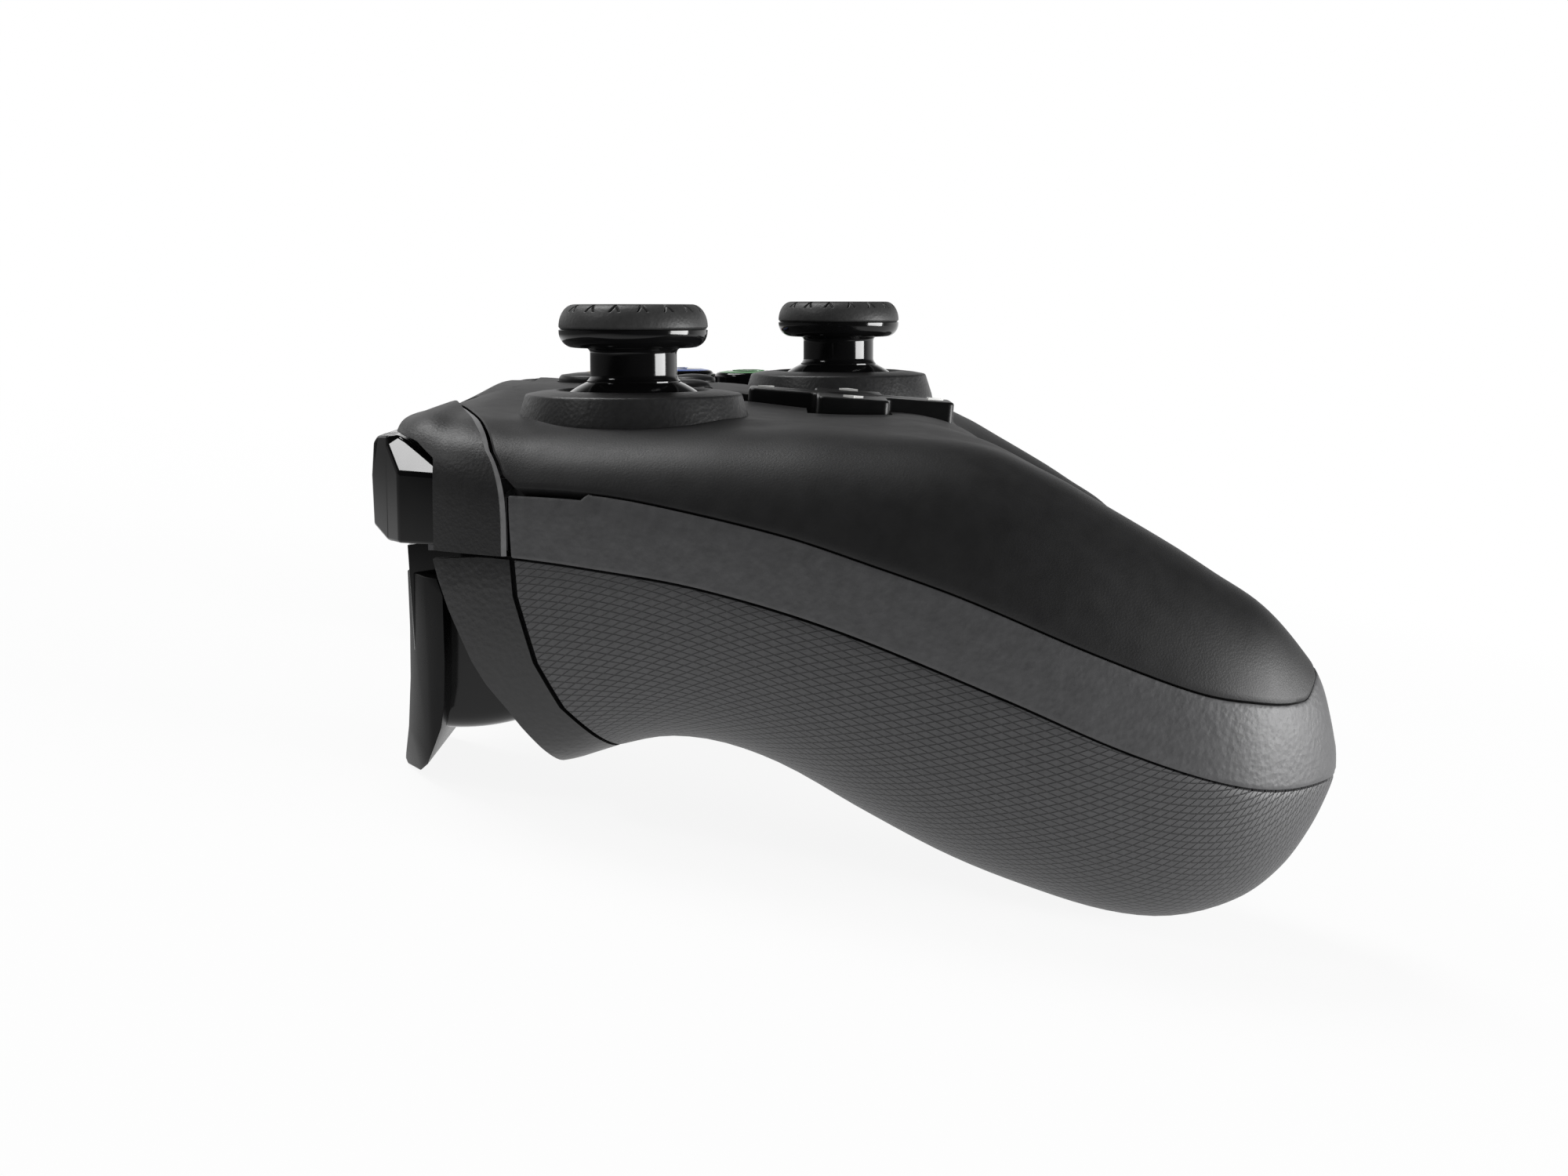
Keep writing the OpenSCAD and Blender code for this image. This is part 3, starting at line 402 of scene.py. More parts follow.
def last_station(inside, start, stop):
    """The station nearest the tip whose section still meets the patch."""
    low, high = 8.0, 10.0
    for _ in range(30):
        mid = (low + high) / 2
        if np.isnan(first_angle(np.array([mid]), start, stop, inside)[0]):
            high = mid
        else:
            low = mid
    return low


def stations(end, count, fine, last=0.02):
    """Station list for one half: even along the pad, closer together towards the tip."""
    body = np.linspace(0, end - TIP_SPAN, count, endpoint=False)
    tip = end - TIP_SPAN * np.linspace(1, last, fine) ** 2
    return np.concatenate([body, tip])


face_end = last_station(on_face, 0, 180)
under_end = last_station(on_under, 0, -180)
print("patches end at stations", round(face_end, 3), round(under_end, 3))

# %% [markdown]
# A patch becomes a mesh as a plain grid of quads, the way a lofted sheet is laid out by hand, with a UV map in
# millimetres for patterns that follow the surface. A second grid inside the first gives the moulded wall, and rows
# that dip at the rim round it off. Only the side band gets its wall from Solidify and its rim from Bevel.

# %% Helpers for meshes
def new_piece(name, points, faces, *materials):
    """A mesh object from points in metres."""
    mesh = bpy.data.meshes.new(name)
    mesh.from_pydata(np.asarray(points, float).tolist(), [], faces)
    for material in materials:
        mesh.materials.append(material)
    piece = bpy.data.objects.new(name, mesh)
    bpy.context.collection.objects.link(piece)
    return piece


def quads(m, n, close):
    """Corners of the faces in a grid of m rows and n columns, its last column joined to the first if closed."""
    return [(j * n + k, j * n + (k + 1) % n, (j + 1) * n + (k + 1) % n, (j + 1) * n + k)
            for j in range(m - 1) for k in range(n if close else n - 1)]


def lay_grid(name, points, material, uv=None, close=False):
    """A sheet of quads through a grid of points given in millimetres. Closed, its two ends are capped."""
    m, n = points.shape[:2]
    faces = quads(m, n, close)
    if close:
        for first in (0, (m - 1) * n):
            faces += [(first + k, first + k + 1, first + n - 2 - k, first + n - 1 - k) for k in range(n // 2 - 1)]
    piece = new_piece(name, row(points.reshape(-1, 3)), faces, material)
    if uv is not None:
        layer = piece.data.uv_layers.new(name="UVMap")
        corner = np.array([loop.vertex_index for loop in piece.data.loops])
        layer.data.foreach_set("uv", uv.reshape(-1, 2)[corner].ravel())
    return piece


def pick(piece):
    if bpy.context.object and bpy.context.object.mode != "OBJECT":
        bpy.ops.object.mode_set(mode="OBJECT")
    bpy.ops.object.select_all(action="DESELECT")
    piece.select_set(True)
    bpy.context.view_layer.objects.active = piece


@contextmanager
def editing(piece):
    """Edit mode on one piece, with everything selected."""
    pick(piece)
    bpy.ops.object.mode_set(mode="EDIT")
    bpy.ops.mesh.select_all(action="SELECT")
    yield
    bpy.ops.object.mode_set(mode="OBJECT")


def turn_out(merge=None):
    """In edit mode: merge doubles if asked, and turn all normals outwards."""
    bpy.ops.mesh.select_all(action="SELECT")
    if merge:
        bpy.ops.mesh.remove_doubles(threshold=merge)
    bpy.ops.mesh.normals_make_consistent(inside=False)


def mend(piece, merge=1e-6):
    with editing(piece):
        turn_out(merge)


def apply_modifier(piece, kind, **values):
    pick(piece)
    modifier = piece.modifiers.new(kind.lower(), kind)
    for key, value in values.items():
        setattr(modifier, key, value)
    bpy.ops.object.modifier_apply(modifier=modifier.name)


def round_edges(piece, width, segments=3, angle=25, clamp=True):
    apply_modifier(piece, "BEVEL", width=width * MM, segments=segments, limit_method="ANGLE",
                   angle_limit=math.radians(angle), use_clamp_overlap=clamp)


def combine(piece, other, operation="DIFFERENCE"):
    apply_modifier(piece, "BOOLEAN", object=other, operation=operation, solver="EXACT")
    bpy.data.objects.remove(other)


def smooth(piece, angle=32):
    pick(piece)
    bpy.ops.object.shade_smooth_by_angle(angle=math.radians(angle))


def join(pieces):
    pick(pieces[0])
    for piece in pieces[1:]:
        piece.select_set(True)
    bpy.ops.object.join()
    return pieces[0]


def extrude(piece, way):
    """Push a flat piece along a way, in metres, into a closed block."""
    with editing(piece):
        bpy.ops.mesh.extrude_region_move(TRANSFORM_OT_translate={"value": way})
        turn_out()
    return piece


def side_prism(name, outline, x_from, x_to):
    """A plate with an outline in depth and height, extruded across the pad."""
    flat = new_piece(name, row([[x_from, y, z] for y, z in outline]), [tuple(range(len(outline)))])
    return extrude(flat, ((x_to - x_from) * MM, 0, 0))


def plan_prism(name, outline, z_from, z_to):
    """A plate with an outline seen from above, extruded upwards."""
    flat = new_piece(name, row([[x, y, z_from] for x, y in outline]), [tuple(range(len(outline)))])
    return extrude(flat, FACE.to_3x3() @ Vector((0, 0, (z_to - z_from) * MM)))


def place_in(piece, matrix):
    piece.matrix_world = matrix @ piece.matrix_world
    pick(piece)
    bpy.ops.object.transform_apply()


def ends(side, near, far):
    """The two ends of a span on one side, in rising order."""
    return sorted([side * near, side * far])


def drum(name, at, radius, z_from, z_to, across=False, count=96):
    """A round cutter or boss, standing on the face or lying across the pad."""
    bpy.ops.object.select_all(action="DESELECT")
    bpy.ops.mesh.primitive_cylinder_add(vertices=count, radius=radius * MM, depth=(z_to - z_from) * MM)
    piece = bpy.context.object
    piece.name = name
    turn = Matrix.Rotation(math.pi / 2 if across else 0, 4, "Y")
    lift = Matrix.Translation((0, 0, (z_from + z_to) / 2 * MM))
    place_in(piece, FACE @ Matrix.Translation(Vector(at) * MM) @ turn @ lift)
    return piece


def settle(piece, body, slot, *nodes):
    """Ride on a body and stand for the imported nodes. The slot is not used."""
    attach(piece, body)
    if nodes:
        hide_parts(*nodes)


# %% [markdown]
# The face plate runs over the whole top and out along both handles to a rounded leaf end. It is one grid from
# handle to handle, with holes for sticks, cross and buttons cut through afterwards.

# %% Face plate
STICKS = {"left": (-42.5, 17.8, 0.0), "right": (20.5, -8.0, 0.2)}
RING_BASE = 13.85
CROSS_AT = (-20.0, -8.1)
BUTTONS = {"button_front": (42.5, 26.4), "button_back": (42.5, 5.6), "button_inner": (32.1, 16.0),
           "button_outer": (52.9, 16.0)}
BUTTON_R = 5.25
CENTRE_BUTTONS = {"home": (0, 25, 6.0), "view": (-10, 13, 3.2), "menu": (10, 13, 3.2)}
BRIDGE_GAP = [[-21.15, 36], [-14, 35.1], [0, 34.4], [14, 35.1], [21.15, 36], [21.15, 50], [-21.15, 50]]
ARM, SPAN, CROSS_GAP = 8.9 / 2, 26.2 / 2, 0.8
SIDES = (("left", -1), ("right", 1))


def patch(end, start, stop, inside, rows, fine, columns):
    """Stations and angles of a grid over one patch of the skin, with a narrow first and last column at its rim."""
    half = stations(end, rows, fine)
    s = np.concatenate([-half[:0:-1], half])
    a0 = first_angle(s, start, stop, inside)
    a1 = first_angle(s, stop, start, inside)
    keep = ~(np.isnan(a0) | np.isnan(a1))
    s, a0, a1 = s[keep], a0[keep], a1[keep]
    step = 0.3 if stop > start else -0.3
    rate0 = np.linalg.norm(skin_at(s, a0 + step) - skin_at(s, a0), axis=1) / abs(step)
    rate1 = np.linalg.norm(skin_at(s, a1 - step) - skin_at(s, a1), axis=1) / abs(step)
    room = np.abs(a1 - a0) * 0.2
    e0 = a0 + np.sign(step) * np.minimum(RIM_STEP / np.maximum(rate0, 1e-3), room)
    e1 = a1 - np.sign(step) * np.minimum(RIM_STEP / np.maximum(rate1, 1e-3), room)
    k = np.linspace(0, 1, columns)
    t = 0.65 * k + 0.35 * (1 - np.cos(np.pi * k)) / 2
    angles = np.concatenate([a0[:, None], e0[:, None] * (1 - t) + e1[:, None] * t, a1[:, None]], axis=1)
    return np.repeat(s[:, None], columns + 2, 1), angles


def shell(name, s, a, wall, material, charted=False):
    """A moulded wall on a patch of the skin, its rim a little rounded."""
    dip = np.zeros_like(s)
    dip[:, [0, -1]] = RIM_DIP
    dip[:, [1, -2]] = RIM_SHOULDER
    outer, inner = skin_at(s, a, dip), skin_at(s, a, wall)
    loop = np.concatenate([outer, inner[:, ::-1]], axis=1)
    uv = None
    if charted:
        chart = surface_uv(outer)
        uv = np.concatenate([chart, chart[:, ::-1]], axis=1)
    piece = lay_grid(name, loop, material, uv, close=True)
    mend(piece)
    return piece


def surface_uv(points):
    """Millimetre lengths along and across a grid, for patterns."""
    along = np.cumsum(np.r_[0, np.linalg.norm(np.diff(points[:, points.shape[1] // 2], axis=0), axis=-1)])
    step = np.linalg.norm(np.diff(points, axis=1), axis=-1)
    across = np.concatenate([np.zeros((len(points), 1)), np.cumsum(step, axis=1)], axis=1)
    across -= across[:, -1:] / 2
    return np.stack([np.repeat(along[:, None], points.shape[1], 1), across], axis=-1)


face_plate = shell("face_plate_skin", *patch(face_end, 0, 180, on_face, 62, 26, 56), FACE_WALL, SHELL_BLACK)


def hole(x, y, radius):
    return drum("cut", (x, y, 0), radius, -12, 8)


def cross_outline(a, b, x=0, y=0):
    """Corners of a cross with arms a to each side and b long."""
    corners = [[-b, -a], [-a, -a], [-a, -b], [a, -b], [a, -a], [b, -a],
               [b, a], [a, a], [a, b], [-a, b], [-a, a], [-b, a]]
    return [[x + u, y + v] for u, v in corners]


cutters = [hole(x, y, RING_BASE - 0.4) for x, y, _ in STICKS.values()]
cutters += [hole(x, y, BUTTON_R + 0.4) for x, y in BUTTONS.values()]
cutters += [hole(x, y, r + (0.3 if name == "home" else 0.35)) for name, (x, y, r) in CENTRE_BUTTONS.items()]
combine(face_plate, join(cutters))
combine(face_plate, plan_prism("cut", cross_outline(ARM + CROSS_GAP, SPAN + CROSS_GAP, *CROSS_AT), -9, 9))
combine(face_plate, plan_prism("cut", BRIDGE_GAP, -14, 9))
smooth(face_plate)
settle(face_plate, "housing", "shell_black", "face_plate")
print("face plate faces:", len(face_plate.data.polygons))

# %% [markdown]
# The side band is a ribbon between the two seams. It starts behind the front collar, runs down the handle, turns
# round the tip and comes back along the inner side to the middle, where it carries the headset jack. Its cross rows
# are straight chords pushed out onto the skin, which a nearest-point search on a fine copy of the skin gives.

# %% Side band
SLOT_FROM, SLOT_DROP = 21.2, 0.75
JACK_ROOM = [[-40, -29.7], [-14, -29.7], [-14, -21.9], [-40, -21.9]]
JACK_HALF = 3.9
BAND_ROWS, BAND_COLUMNS = 320, 17
STRIP_DEEP, STRIP_HALF = (2.0, 2.4), 1.4


def fine_skin():
    """A search tree on a dense closed copy of the right half of the skin, with a strip of the left half."""
    s = np.concatenate([np.linspace(-2, 8.5, 420), 10 - 1.5 * np.linspace(1, 0.0001, 160) ** 1.6])
    p = skin_at(*np.meshgrid(s, np.arange(360.0), indexing="ij"))
    return BVHTree.FromPolygons([Vector(v) for v in p.reshape(-1, 3)], quads(len(s), 360, close=True))


SKIN_TREE = fine_skin()


def onto_skin(points):
    flat = points.reshape(-1, 3)
    return np.array([SKIN_TREE.find_nearest(Vector(p))[0] for p in flat]).reshape(points.shape)


def seam_path(inside, sign, edge):
    """A seam from the front edge round the handle tip to the middle, as one polyline."""
    end = last_station(inside, 0, 180 * sign)
    s = stations(end, 420, 240, 0.001)
    out = skin_at(s, first_angle(s, 0, 180 * sign, inside))
    back = skin_at(s, first_angle(s, 180 * sign, 0, inside))
    room = straight_at(edge, np.abs(out[:, 0])) - out[:, 1]
    front = np.argmax(room > 0)
    share = room[front - 1] / (room[front - 1] - room[front])
    start = out[front - 1] + (out[front] - out[front - 1]) * share
    return np.concatenate([[start], out[front:], back[::-1]])


def even(path, count):
    """The same path with points at even lengths."""
    length = np.r_[0, np.cumsum(np.linalg.norm(np.diff(path, axis=0), axis=1))]
    at = np.linspace(0, 1, count) * length[-1]
    return np.stack([np.interp(at, length, path[:, k]) for k in range(3)], axis=1)


def both_sides(half):
    """A grid whose last row lies in the middle, with its mirror image."""
    half[-1, :, 0] = 0
    return np.concatenate([half, (half * [-1, 1, 1])[-2::-1]])


def below_face(p):
    y = p[..., 1]
    drop = SLOT_DROP * ease((y - SLOT_FROM) / 0.8)
    return np.minimum(p[..., 2] - line_at(SEAM_TOP, y) + drop + GAP * (y < SLOT_FROM), y + TIP_EDGE + GAP)


def above_under(p):
    return line_at(SEAM_LOW, p[..., 1]) + GAP - p[..., 2]


collar_edge = [[x, y - 0.25] for x, y in FRONT_EDGE]
top_path = even(seam_path(below_face, 1, collar_edge), BAND_ROWS)
low_path = even(seam_path(above_under, -1, collar_edge), BAND_ROWS)
k = np.linspace(0, 1, BAND_COLUMNS)[None, :, None]
ribbon = onto_skin(top_path[:, None] * (1 - k) + low_path[:, None] * k)
ribbon[:, 0], ribbon[:, -1] = top_path, low_path
side_band = lay_grid("side_band_skin", both_sides(ribbon)[:, ::-1], BAND_GREY)
mend(side_band)
apply_modifier(side_band, "SOLIDIFY", thickness=BAND_WALL * MM, offset=-1, use_even_offset=False)
round_edges(side_band, 0.22, 2, 50, clamp=False)
combine(side_band, side_prism("cut", JACK_ROOM, -JACK_HALF, JACK_HALF))
smooth(side_band)
settle(side_band, "housing", "band_grey", "side_band")
print("band faces:", len(side_band.data.polygons))


def seam_backing(name, path):
    """A dark strip behind a seam, so that no light comes through its gap."""
    near = [SKIN_TREE.find_nearest(Vector(p)) for p in path]
    spot, out = (np.array([n[k] for n in near]) for k in (0, 1))
    widest = np.argmax(np.abs(spot[:, 0]))
    out = out * np.sign(out[widest, 0] * spot[widest, 0])
    across = np.cross(out, np.gradient(spot, axis=0))
    across /= np.linalg.norm(across, axis=1, keepdims=True)
    near_deep, far_deep = STRIP_DEEP
    corners = ((near_deep, 1), (near_deep, -1), (far_deep, -1), (far_deep, 1))
    rows = [spot - out * deep + across * STRIP_HALF * way for deep, way in corners]
    strip = lay_grid(name, both_sides(np.stack(rows, axis=1)), SOCKET_BLACK, close=True)
    mend(strip)
    smooth(strip)
    settle(strip, "housing", "socket_black")


seam_backing("seam_backing", top_path)

# %% [markdown]
# The lower shell is again one patch of the skin. A narrow groove divides it into the rear cover, with the two
# wings that carry the trigger openings, and a grip on each handle. Plain prisms cut it, as a saw would.

# %% Lower shell
def net_finish():
    """Grip rubber: a fine diamond net of grooves that follows the handle, on the UV map in millimetres, its grooves
    pressed in by a bump and painted darker as painted shade.
    """
    material = finish("grip_rubber", (0.062, 0.062, 0.064), 0.5, grain=1300, level=0.4)
    tree = material.node_tree
    chart = add_node(tree, "UVMap", uv_map="UVMap").outputs[0]
    lines = []
    for angle in (-28, 28):
        place = add_node(tree, "Mapping", {"Vector": chart, "Rotation": (0, 0, math.radians(angle))}).outputs[0]
        wave = add_node(tree, "TexWave", {"Vector": place, "Scale": 0.42, "Distortion": 0}, bands_direction="Y")
        thin = {"Value": wave.outputs["Fac"], "From Min": 0.0, "From Max": 0.1}
        lines.append(add_node(tree, "MapRange", thin).outputs[0])
    groove = math_of(tree, "MINIMUM", *lines)
    press(tree, groove, 0.7, 0.00013)
    # The grooves are painted a darker grey: painted shade in them, on top of the real bump.
    groove_shade_colors = {0: groove, 6: (0.03, 0.03, 0.031, 1), 7: tree.nodes["Color Ramp"].outputs["Color"]}
    dark = add_node(tree, "Mix", groove_shade_colors, data_type="RGBA")
    tree.links.new(dark.outputs[2], tree.nodes["Principled BSDF"].inputs["Base Color"])
    return material


GRIP_RUBBER = net_finish()
GRIP_FROM, GRIP_GAP = 33.0, 0.6
PIN = (38.0, -11.5)
WHEEL_R, WHEEL_X = 25.4, (29.2, 52.6)
LINER_HALF, LINER_FROM, LINER_DEEP = 2.2, 30, (2.0, 2.5)
FRONT_WALL, FRONT_WALL_HALF, FRONT_WALL_LOW = 1.8, 27.2, -32
under_patch = patch(under_end, 0, -180, on_under, 70, 34, 60)


def behind_wing(shift):
    """Side outline of all that lies behind the wing's rear edge."""
    return [[-70, -12]] + [[y + shift, z] for y, z in WING_BACK] + [[13, -70], [-70, -70]]


def wheel_room(side):
    """Room for a trigger's skirt to turn in."""
    return drum("cut", (0, *PIN), WHEEL_R, *ends(side, *WHEEL_X), across=True)


rear_cover = shell("lower_shell", *under_patch, UNDER_WALL, GRIP_RUBBER, charted=True)
for name, side in SIDES:
    grip = rear_cover.copy()
    grip.data = rear_cover.data.copy()
    grip.name = "grip_skin_" + name
    bpy.context.collection.objects.link(grip)
    combine(grip, side_prism("cut", behind_wing(-GRIP_GAP / 2), *ends(side, GRIP_FROM, FAR_OUT)), "INTERSECT")
    smooth(grip)
    settle(grip, "housing", "grip_rubber", "grip_" + name)
rear_cover.name = "rear_cover_skin"
rear_cover.data.materials[0] = COVER_BLACK
for side in (-1, 1):
    combine(rear_cover, side_prism("cut", behind_wing(GRIP_GAP / 2), *ends(side, GRIP_FROM - GRIP_GAP, FAR_OUT)))
    combine(rear_cover, wheel_room(side))
print("grip faces:", len(grip.data.polygons))

# %% Wing seam and front wall
liner_out, liner_in = (skin_at(*under_patch, deep) for deep in LINER_DEEP)
liner = lay_grid("seam_liner", np.concatenate([liner_out, liner_in[:, ::-1]], axis=1), SOCKET_BLACK, close=True)
mend(liner)
strip = [[y - LINER_HALF, z] for y, z in WING_BACK] + [[y + LINER_HALF, z] for y, z in WING_BACK[::-1]]
combine(liner, join([side_prism("cut", strip, *ends(side, LINER_FROM, FAR_OUT)) for side in (-1, 1)]), "INTERSECT")
for side in (-1, 1):
    combine(liner, wheel_room(side))
smooth(liner)
settle(liner, "housing", "socket_black")
ahead_of_wing = [[39.2, -12.5]] + WING_FRONT + [[24.2, -60], [70, -60], [70, -12.5]]
combine(rear_cover, side_prism("cut", ahead_of_wing, -FAR_OUT, FAR_OUT))
wall_line = [p for p in WING_FRONT if p[1] > FRONT_WALL_LOW]
wall_side = wall_line + [[y - FRONT_WALL, z] for y, z in wall_line[::-1]]
front_wall = side_prism("front_wall", wall_side, -FRONT_WALL_HALF, FRONT_WALL_HALF)
front_wall.data.materials.append(COVER_BLACK)
rear_cover = join([rear_cover, front_wall])
smooth(rear_cover)
settle(rear_cover, "housing", "cover_black", "rear_cover")
print("liner and cover faces:", len(liner.data.polygons), len(rear_cover.data.polygons))

# %% [markdown]
# Each front collar wraps the corner between face and bumper. Seen from behind, its rear edge carries a narrow bevel,
# painted a pale grey as a painted highlight. Rows run from the rear edge to the front edge; the first rows make that
# bevel.

# %% Front collars
LIP_FRONT, LIP_SIDE = 43.8, 38.8
COLLAR_REAR_LOW, COLLAR_FRONT_LOW = -14.1, -13.75
COLLAR_ROWS, COLLAR_COLUMNS = 150, 24
POCKET = [[38.8, -3.6], [41, -2.1], [43.8, -1]]


def cast(at, way):
    """Where a ray from inside meets the skin."""
    hit = SKIN_TREE.ray_cast(Vector(at), Vector(way))[0]
    return None if hit is None else np.array(hit)


def side_point(y, z):
    return cast((30, y, z), (1, 0, 0))


def top_point(x, y):
    return cast((x, y, -8), (0, 0, 1))


def section_at(y, count=900):
    """The skin's right-hand outline at one depth, from the top middle round the side to below."""
    turns = np.radians(np.linspace(90, -45, count))
    found = [cast((24, y, -9), (math.cos(a), 0, math.sin(a))) for a in turns]
    return [p for p in found if p is not None]


def collar_lines():
    """The rear and the front edge of the right-hand collar, from the top down the side."""
    rear = [top_point(x, float(straight_at(FRONT_EDGE, x))) for x in np.linspace(21.2, 62, 160)]
    rear = [p for p in rear if p is not None and p[2] > -4]
    last = rear[-1]
    for z in np.linspace(last[2] - 0.3, COLLAR_REAR_LOW, 60):
        p = last
        for _ in range(7):
            p = side_point(float(straight_at(FRONT_EDGE, p[0])), z)
        rear.append(p)
    front = [top_point(x, LIP_FRONT) for x in np.linspace(21.2, 44, 60)]
    front += [p for p in section_at(LIP_FRONT) if p[0] > front[-1][0] and p[2] > -1.0]
    down = np.linspace(LIP_FRONT, LIP_SIDE, 24)
    front += [side_point(y, z) for y, z in zip(down, straight_at(POCKET, down))]
    front += [side_point(LIP_SIDE, z) for z in np.linspace(-3.9, COLLAR_FRONT_LOW, 30)]
    return np.array(rear), np.array(front)


rear_line, front_line = (even(line, COLLAR_ROWS) for line in collar_lines())
print("collar edges", np.round(rear_line[[0, 75, -1]], 1).tolist(), np.round(front_line[[0, 75, -1]], 1).tolist())


def unit(v):
    return v / np.linalg.norm(v, axis=-1)[..., None]


def collar_grid():
    """The collar's outer face and its inner one, from the rear edge to the front edge."""
    k = np.r_[0, 0.03, np.linspace(0.09, 1, COLLAR_COLUMNS - 2)][None, :, None]
    surface = onto_skin(rear_line[:, None] * (1 - k) + front_line[:, None] * k)
    y, z = surface[..., 1], surface[..., 2]
    crest = ease((y - 37.2) / 3) * (1 - ease((y - 40.8) / 3)) * ease((z + 4) / 4)
    surface[..., 2] += 0.5 * crest * ease((surface[..., 0] - 24) / 8)
    edge_way = unit(surface[:, 6] - surface[:, 0])
    deep = unit(np.array([40, 36, -9.0]) - surface)
    surface[:, 1] = onto_skin(rear_line + edge_way * 1.05)
    surface[:, 0] = rear_line + edge_way * GAP + deep[:, 0] * 0.25
    k = k[..., 0]
    inner = surface + deep * (1.5 - 0.8 * ease((k - 0.6) / 0.4))[..., None]
    return np.concatenate([surface, inner[:, ::-1]], axis=1)


for name, side in SIDES:
    collar = lay_grid("collar_skin_" + name, collar_grid() * [side, 1, 1], COLLAR_SATIN, close=True)
    collar.data.materials.append(COLLAR_EDGE_PAINTED_HIGHLIGHT)
    # The first face of each row is the rear-edge bevel; it takes the pale grey of the painted highlight.
    around = 2 * COLLAR_COLUMNS
    for face in list(collar.data.polygons)[:(COLLAR_ROWS - 1) * around:around]:
        face.material_index = 1
    mend(collar)
    smooth(collar, 28)
    settle(collar, "housing", "collar_satin", "collar_" + name)
print("collar faces:", len(collar.data.polygons))

# %% [markdown]
# Round parts are turned: a circle is drawn at the foot and extruded ring by ring up a profile, as on a lathe. A ring
# guards each stick, its top flat catching a paler light than its steep side.

# %% Turned pieces
def turned(name, at, profile, material, count=112, close_top=True, close_foot=True):
    """Revolve a profile of radius and height, in millimetres, about an upright axis at a place on the face."""
    bpy.ops.object.select_all(action="DESELECT")
    first_r, first_z = profile[0]
    bpy.ops.mesh.primitive_circle_add(vertices=count, radius=max(first_r, 0.001) * MM, location=(0, 0, first_z * MM),
                                      fill_type="NGON" if close_foot else "NOTHING")
    piece = bpy.context.object
    bpy.ops.object.transform_apply()
    piece.name = name
    with editing(piece):
        bpy.ops.mesh.select_mode(type="EDGE")
        bpy.ops.mesh.select_all(action="SELECT")
        last_r, last_z = first_r, first_z
        for r, z in profile[1:]:
            bpy.ops.mesh.extrude_edges_move(TRANSFORM_OT_translate={"value": (0, 0, (z - last_z) * MM)})
            k = max(r, 0.001) / max(last_r, 0.001)
            bpy.ops.transform.resize(value=(k, k, 1), center_override=(0, 0, z * MM))
            last_r, last_z = r, z
        if close_top:
            bpy.ops.mesh.edge_face_add()
        turn_out(1e-7)
    place_in(piece, FACE @ Matrix.Translation(Vector(at) * MM))
    piece.data.materials.append(material)
    smooth(piece, 35)
    return piece


def arc(center, r, start, stop, count):
    """Profile points on an arc, angles from the radius axis."""
    return [(center[0] + r * math.cos(math.radians(a)), center[1] + r * math.sin(math.radians(a)))
            for a in np.linspace(start, stop, count)]


DOME_R, PIVOT, RING_CLEAR = 13.3, 8.0, 0.35


def dome(r, polar_from, polar_to, count):
    """Profile points on the ball of a stick, angles from upright."""
    return [(r * math.sin(math.radians(a)), r * math.cos(math.radians(a)) - PIVOT)
            for a in np.linspace(polar_from, polar_to, count)]


def make_ring(name, at):
    mouth = dome(DOME_R + RING_CLEAR, 57.8, 41.6, 10) + arc((9.35, 2.83), 0.35, 170, 90, 6)
    rim = [(11.2, 2.98)] + arc((12.45, 2.3), 0.45, 80, 15, 6)
    foot = [(RING_BASE - 0.12, -0.2), (RING_BASE, -0.8), (RING_BASE, -3.2)]
    ring = turned(name, at, mouth + rim + foot, RING_SATIN, close_top=False, close_foot=False)
    with editing(ring):
        bpy.ops.mesh.select_all(action="DESELECT")
        bpy.ops.mesh.select_non_manifold()
        bpy.ops.mesh.bridge_edge_loops()
    mend(ring)
    smooth(ring, 40)
    return ring


for name, at in STICKS.items():
    ring = make_ring("ring_skin_" + name, at)
    settle(ring, "housing", "ring_satin", "stick_ring_" + name)
print("ring faces:", len(ring.data.polygons))

# %% [markdown]
# A stick is a polished post: a dome that closes the ring's mouth, a slim stem and a mushroom plate. A soft rubber cap
# sits on the plate, dished on top, with short slanting notches moulded round its edge.

# %% Sticks
STEM_R, CAP_R, CAP_SEAM, CAP_TOP = 5.13, 8.8, 10.35, 13.2
NOTCHES, NOTCH_DEEP, NOTCH_HALF, NOTCH_LEAN, NOTCH_RUN = 16, 0.26, 0.2, 0.3, 0.42
CAP_ROUND, CAP_TURNS = 1.9, 720


def make_post(name, at):
    turn_in = dome(DOME_R, 59.8, 24.5, 22)
    foot_fillet = arc((STEM_R + 0.9, 4.98), 0.9, 235, 180, 6)
    under = [(STEM_R, 7.2)] + arc((STEM_R + 0.6, 7.5), 0.6, 180, 90, 5) + [(7.0, 8.12)]
    flank = arc((6.9, 10.0), 1.9, -72, 0, 10)
    profile = turn_in + foot_fillet + under + flank + [(CAP_R, CAP_SEAM - 0.16), (CAP_R - 0.18, CAP_SEAM)]
    return turned(name, at, profile, GLOSS_BLACK, close_foot=False)


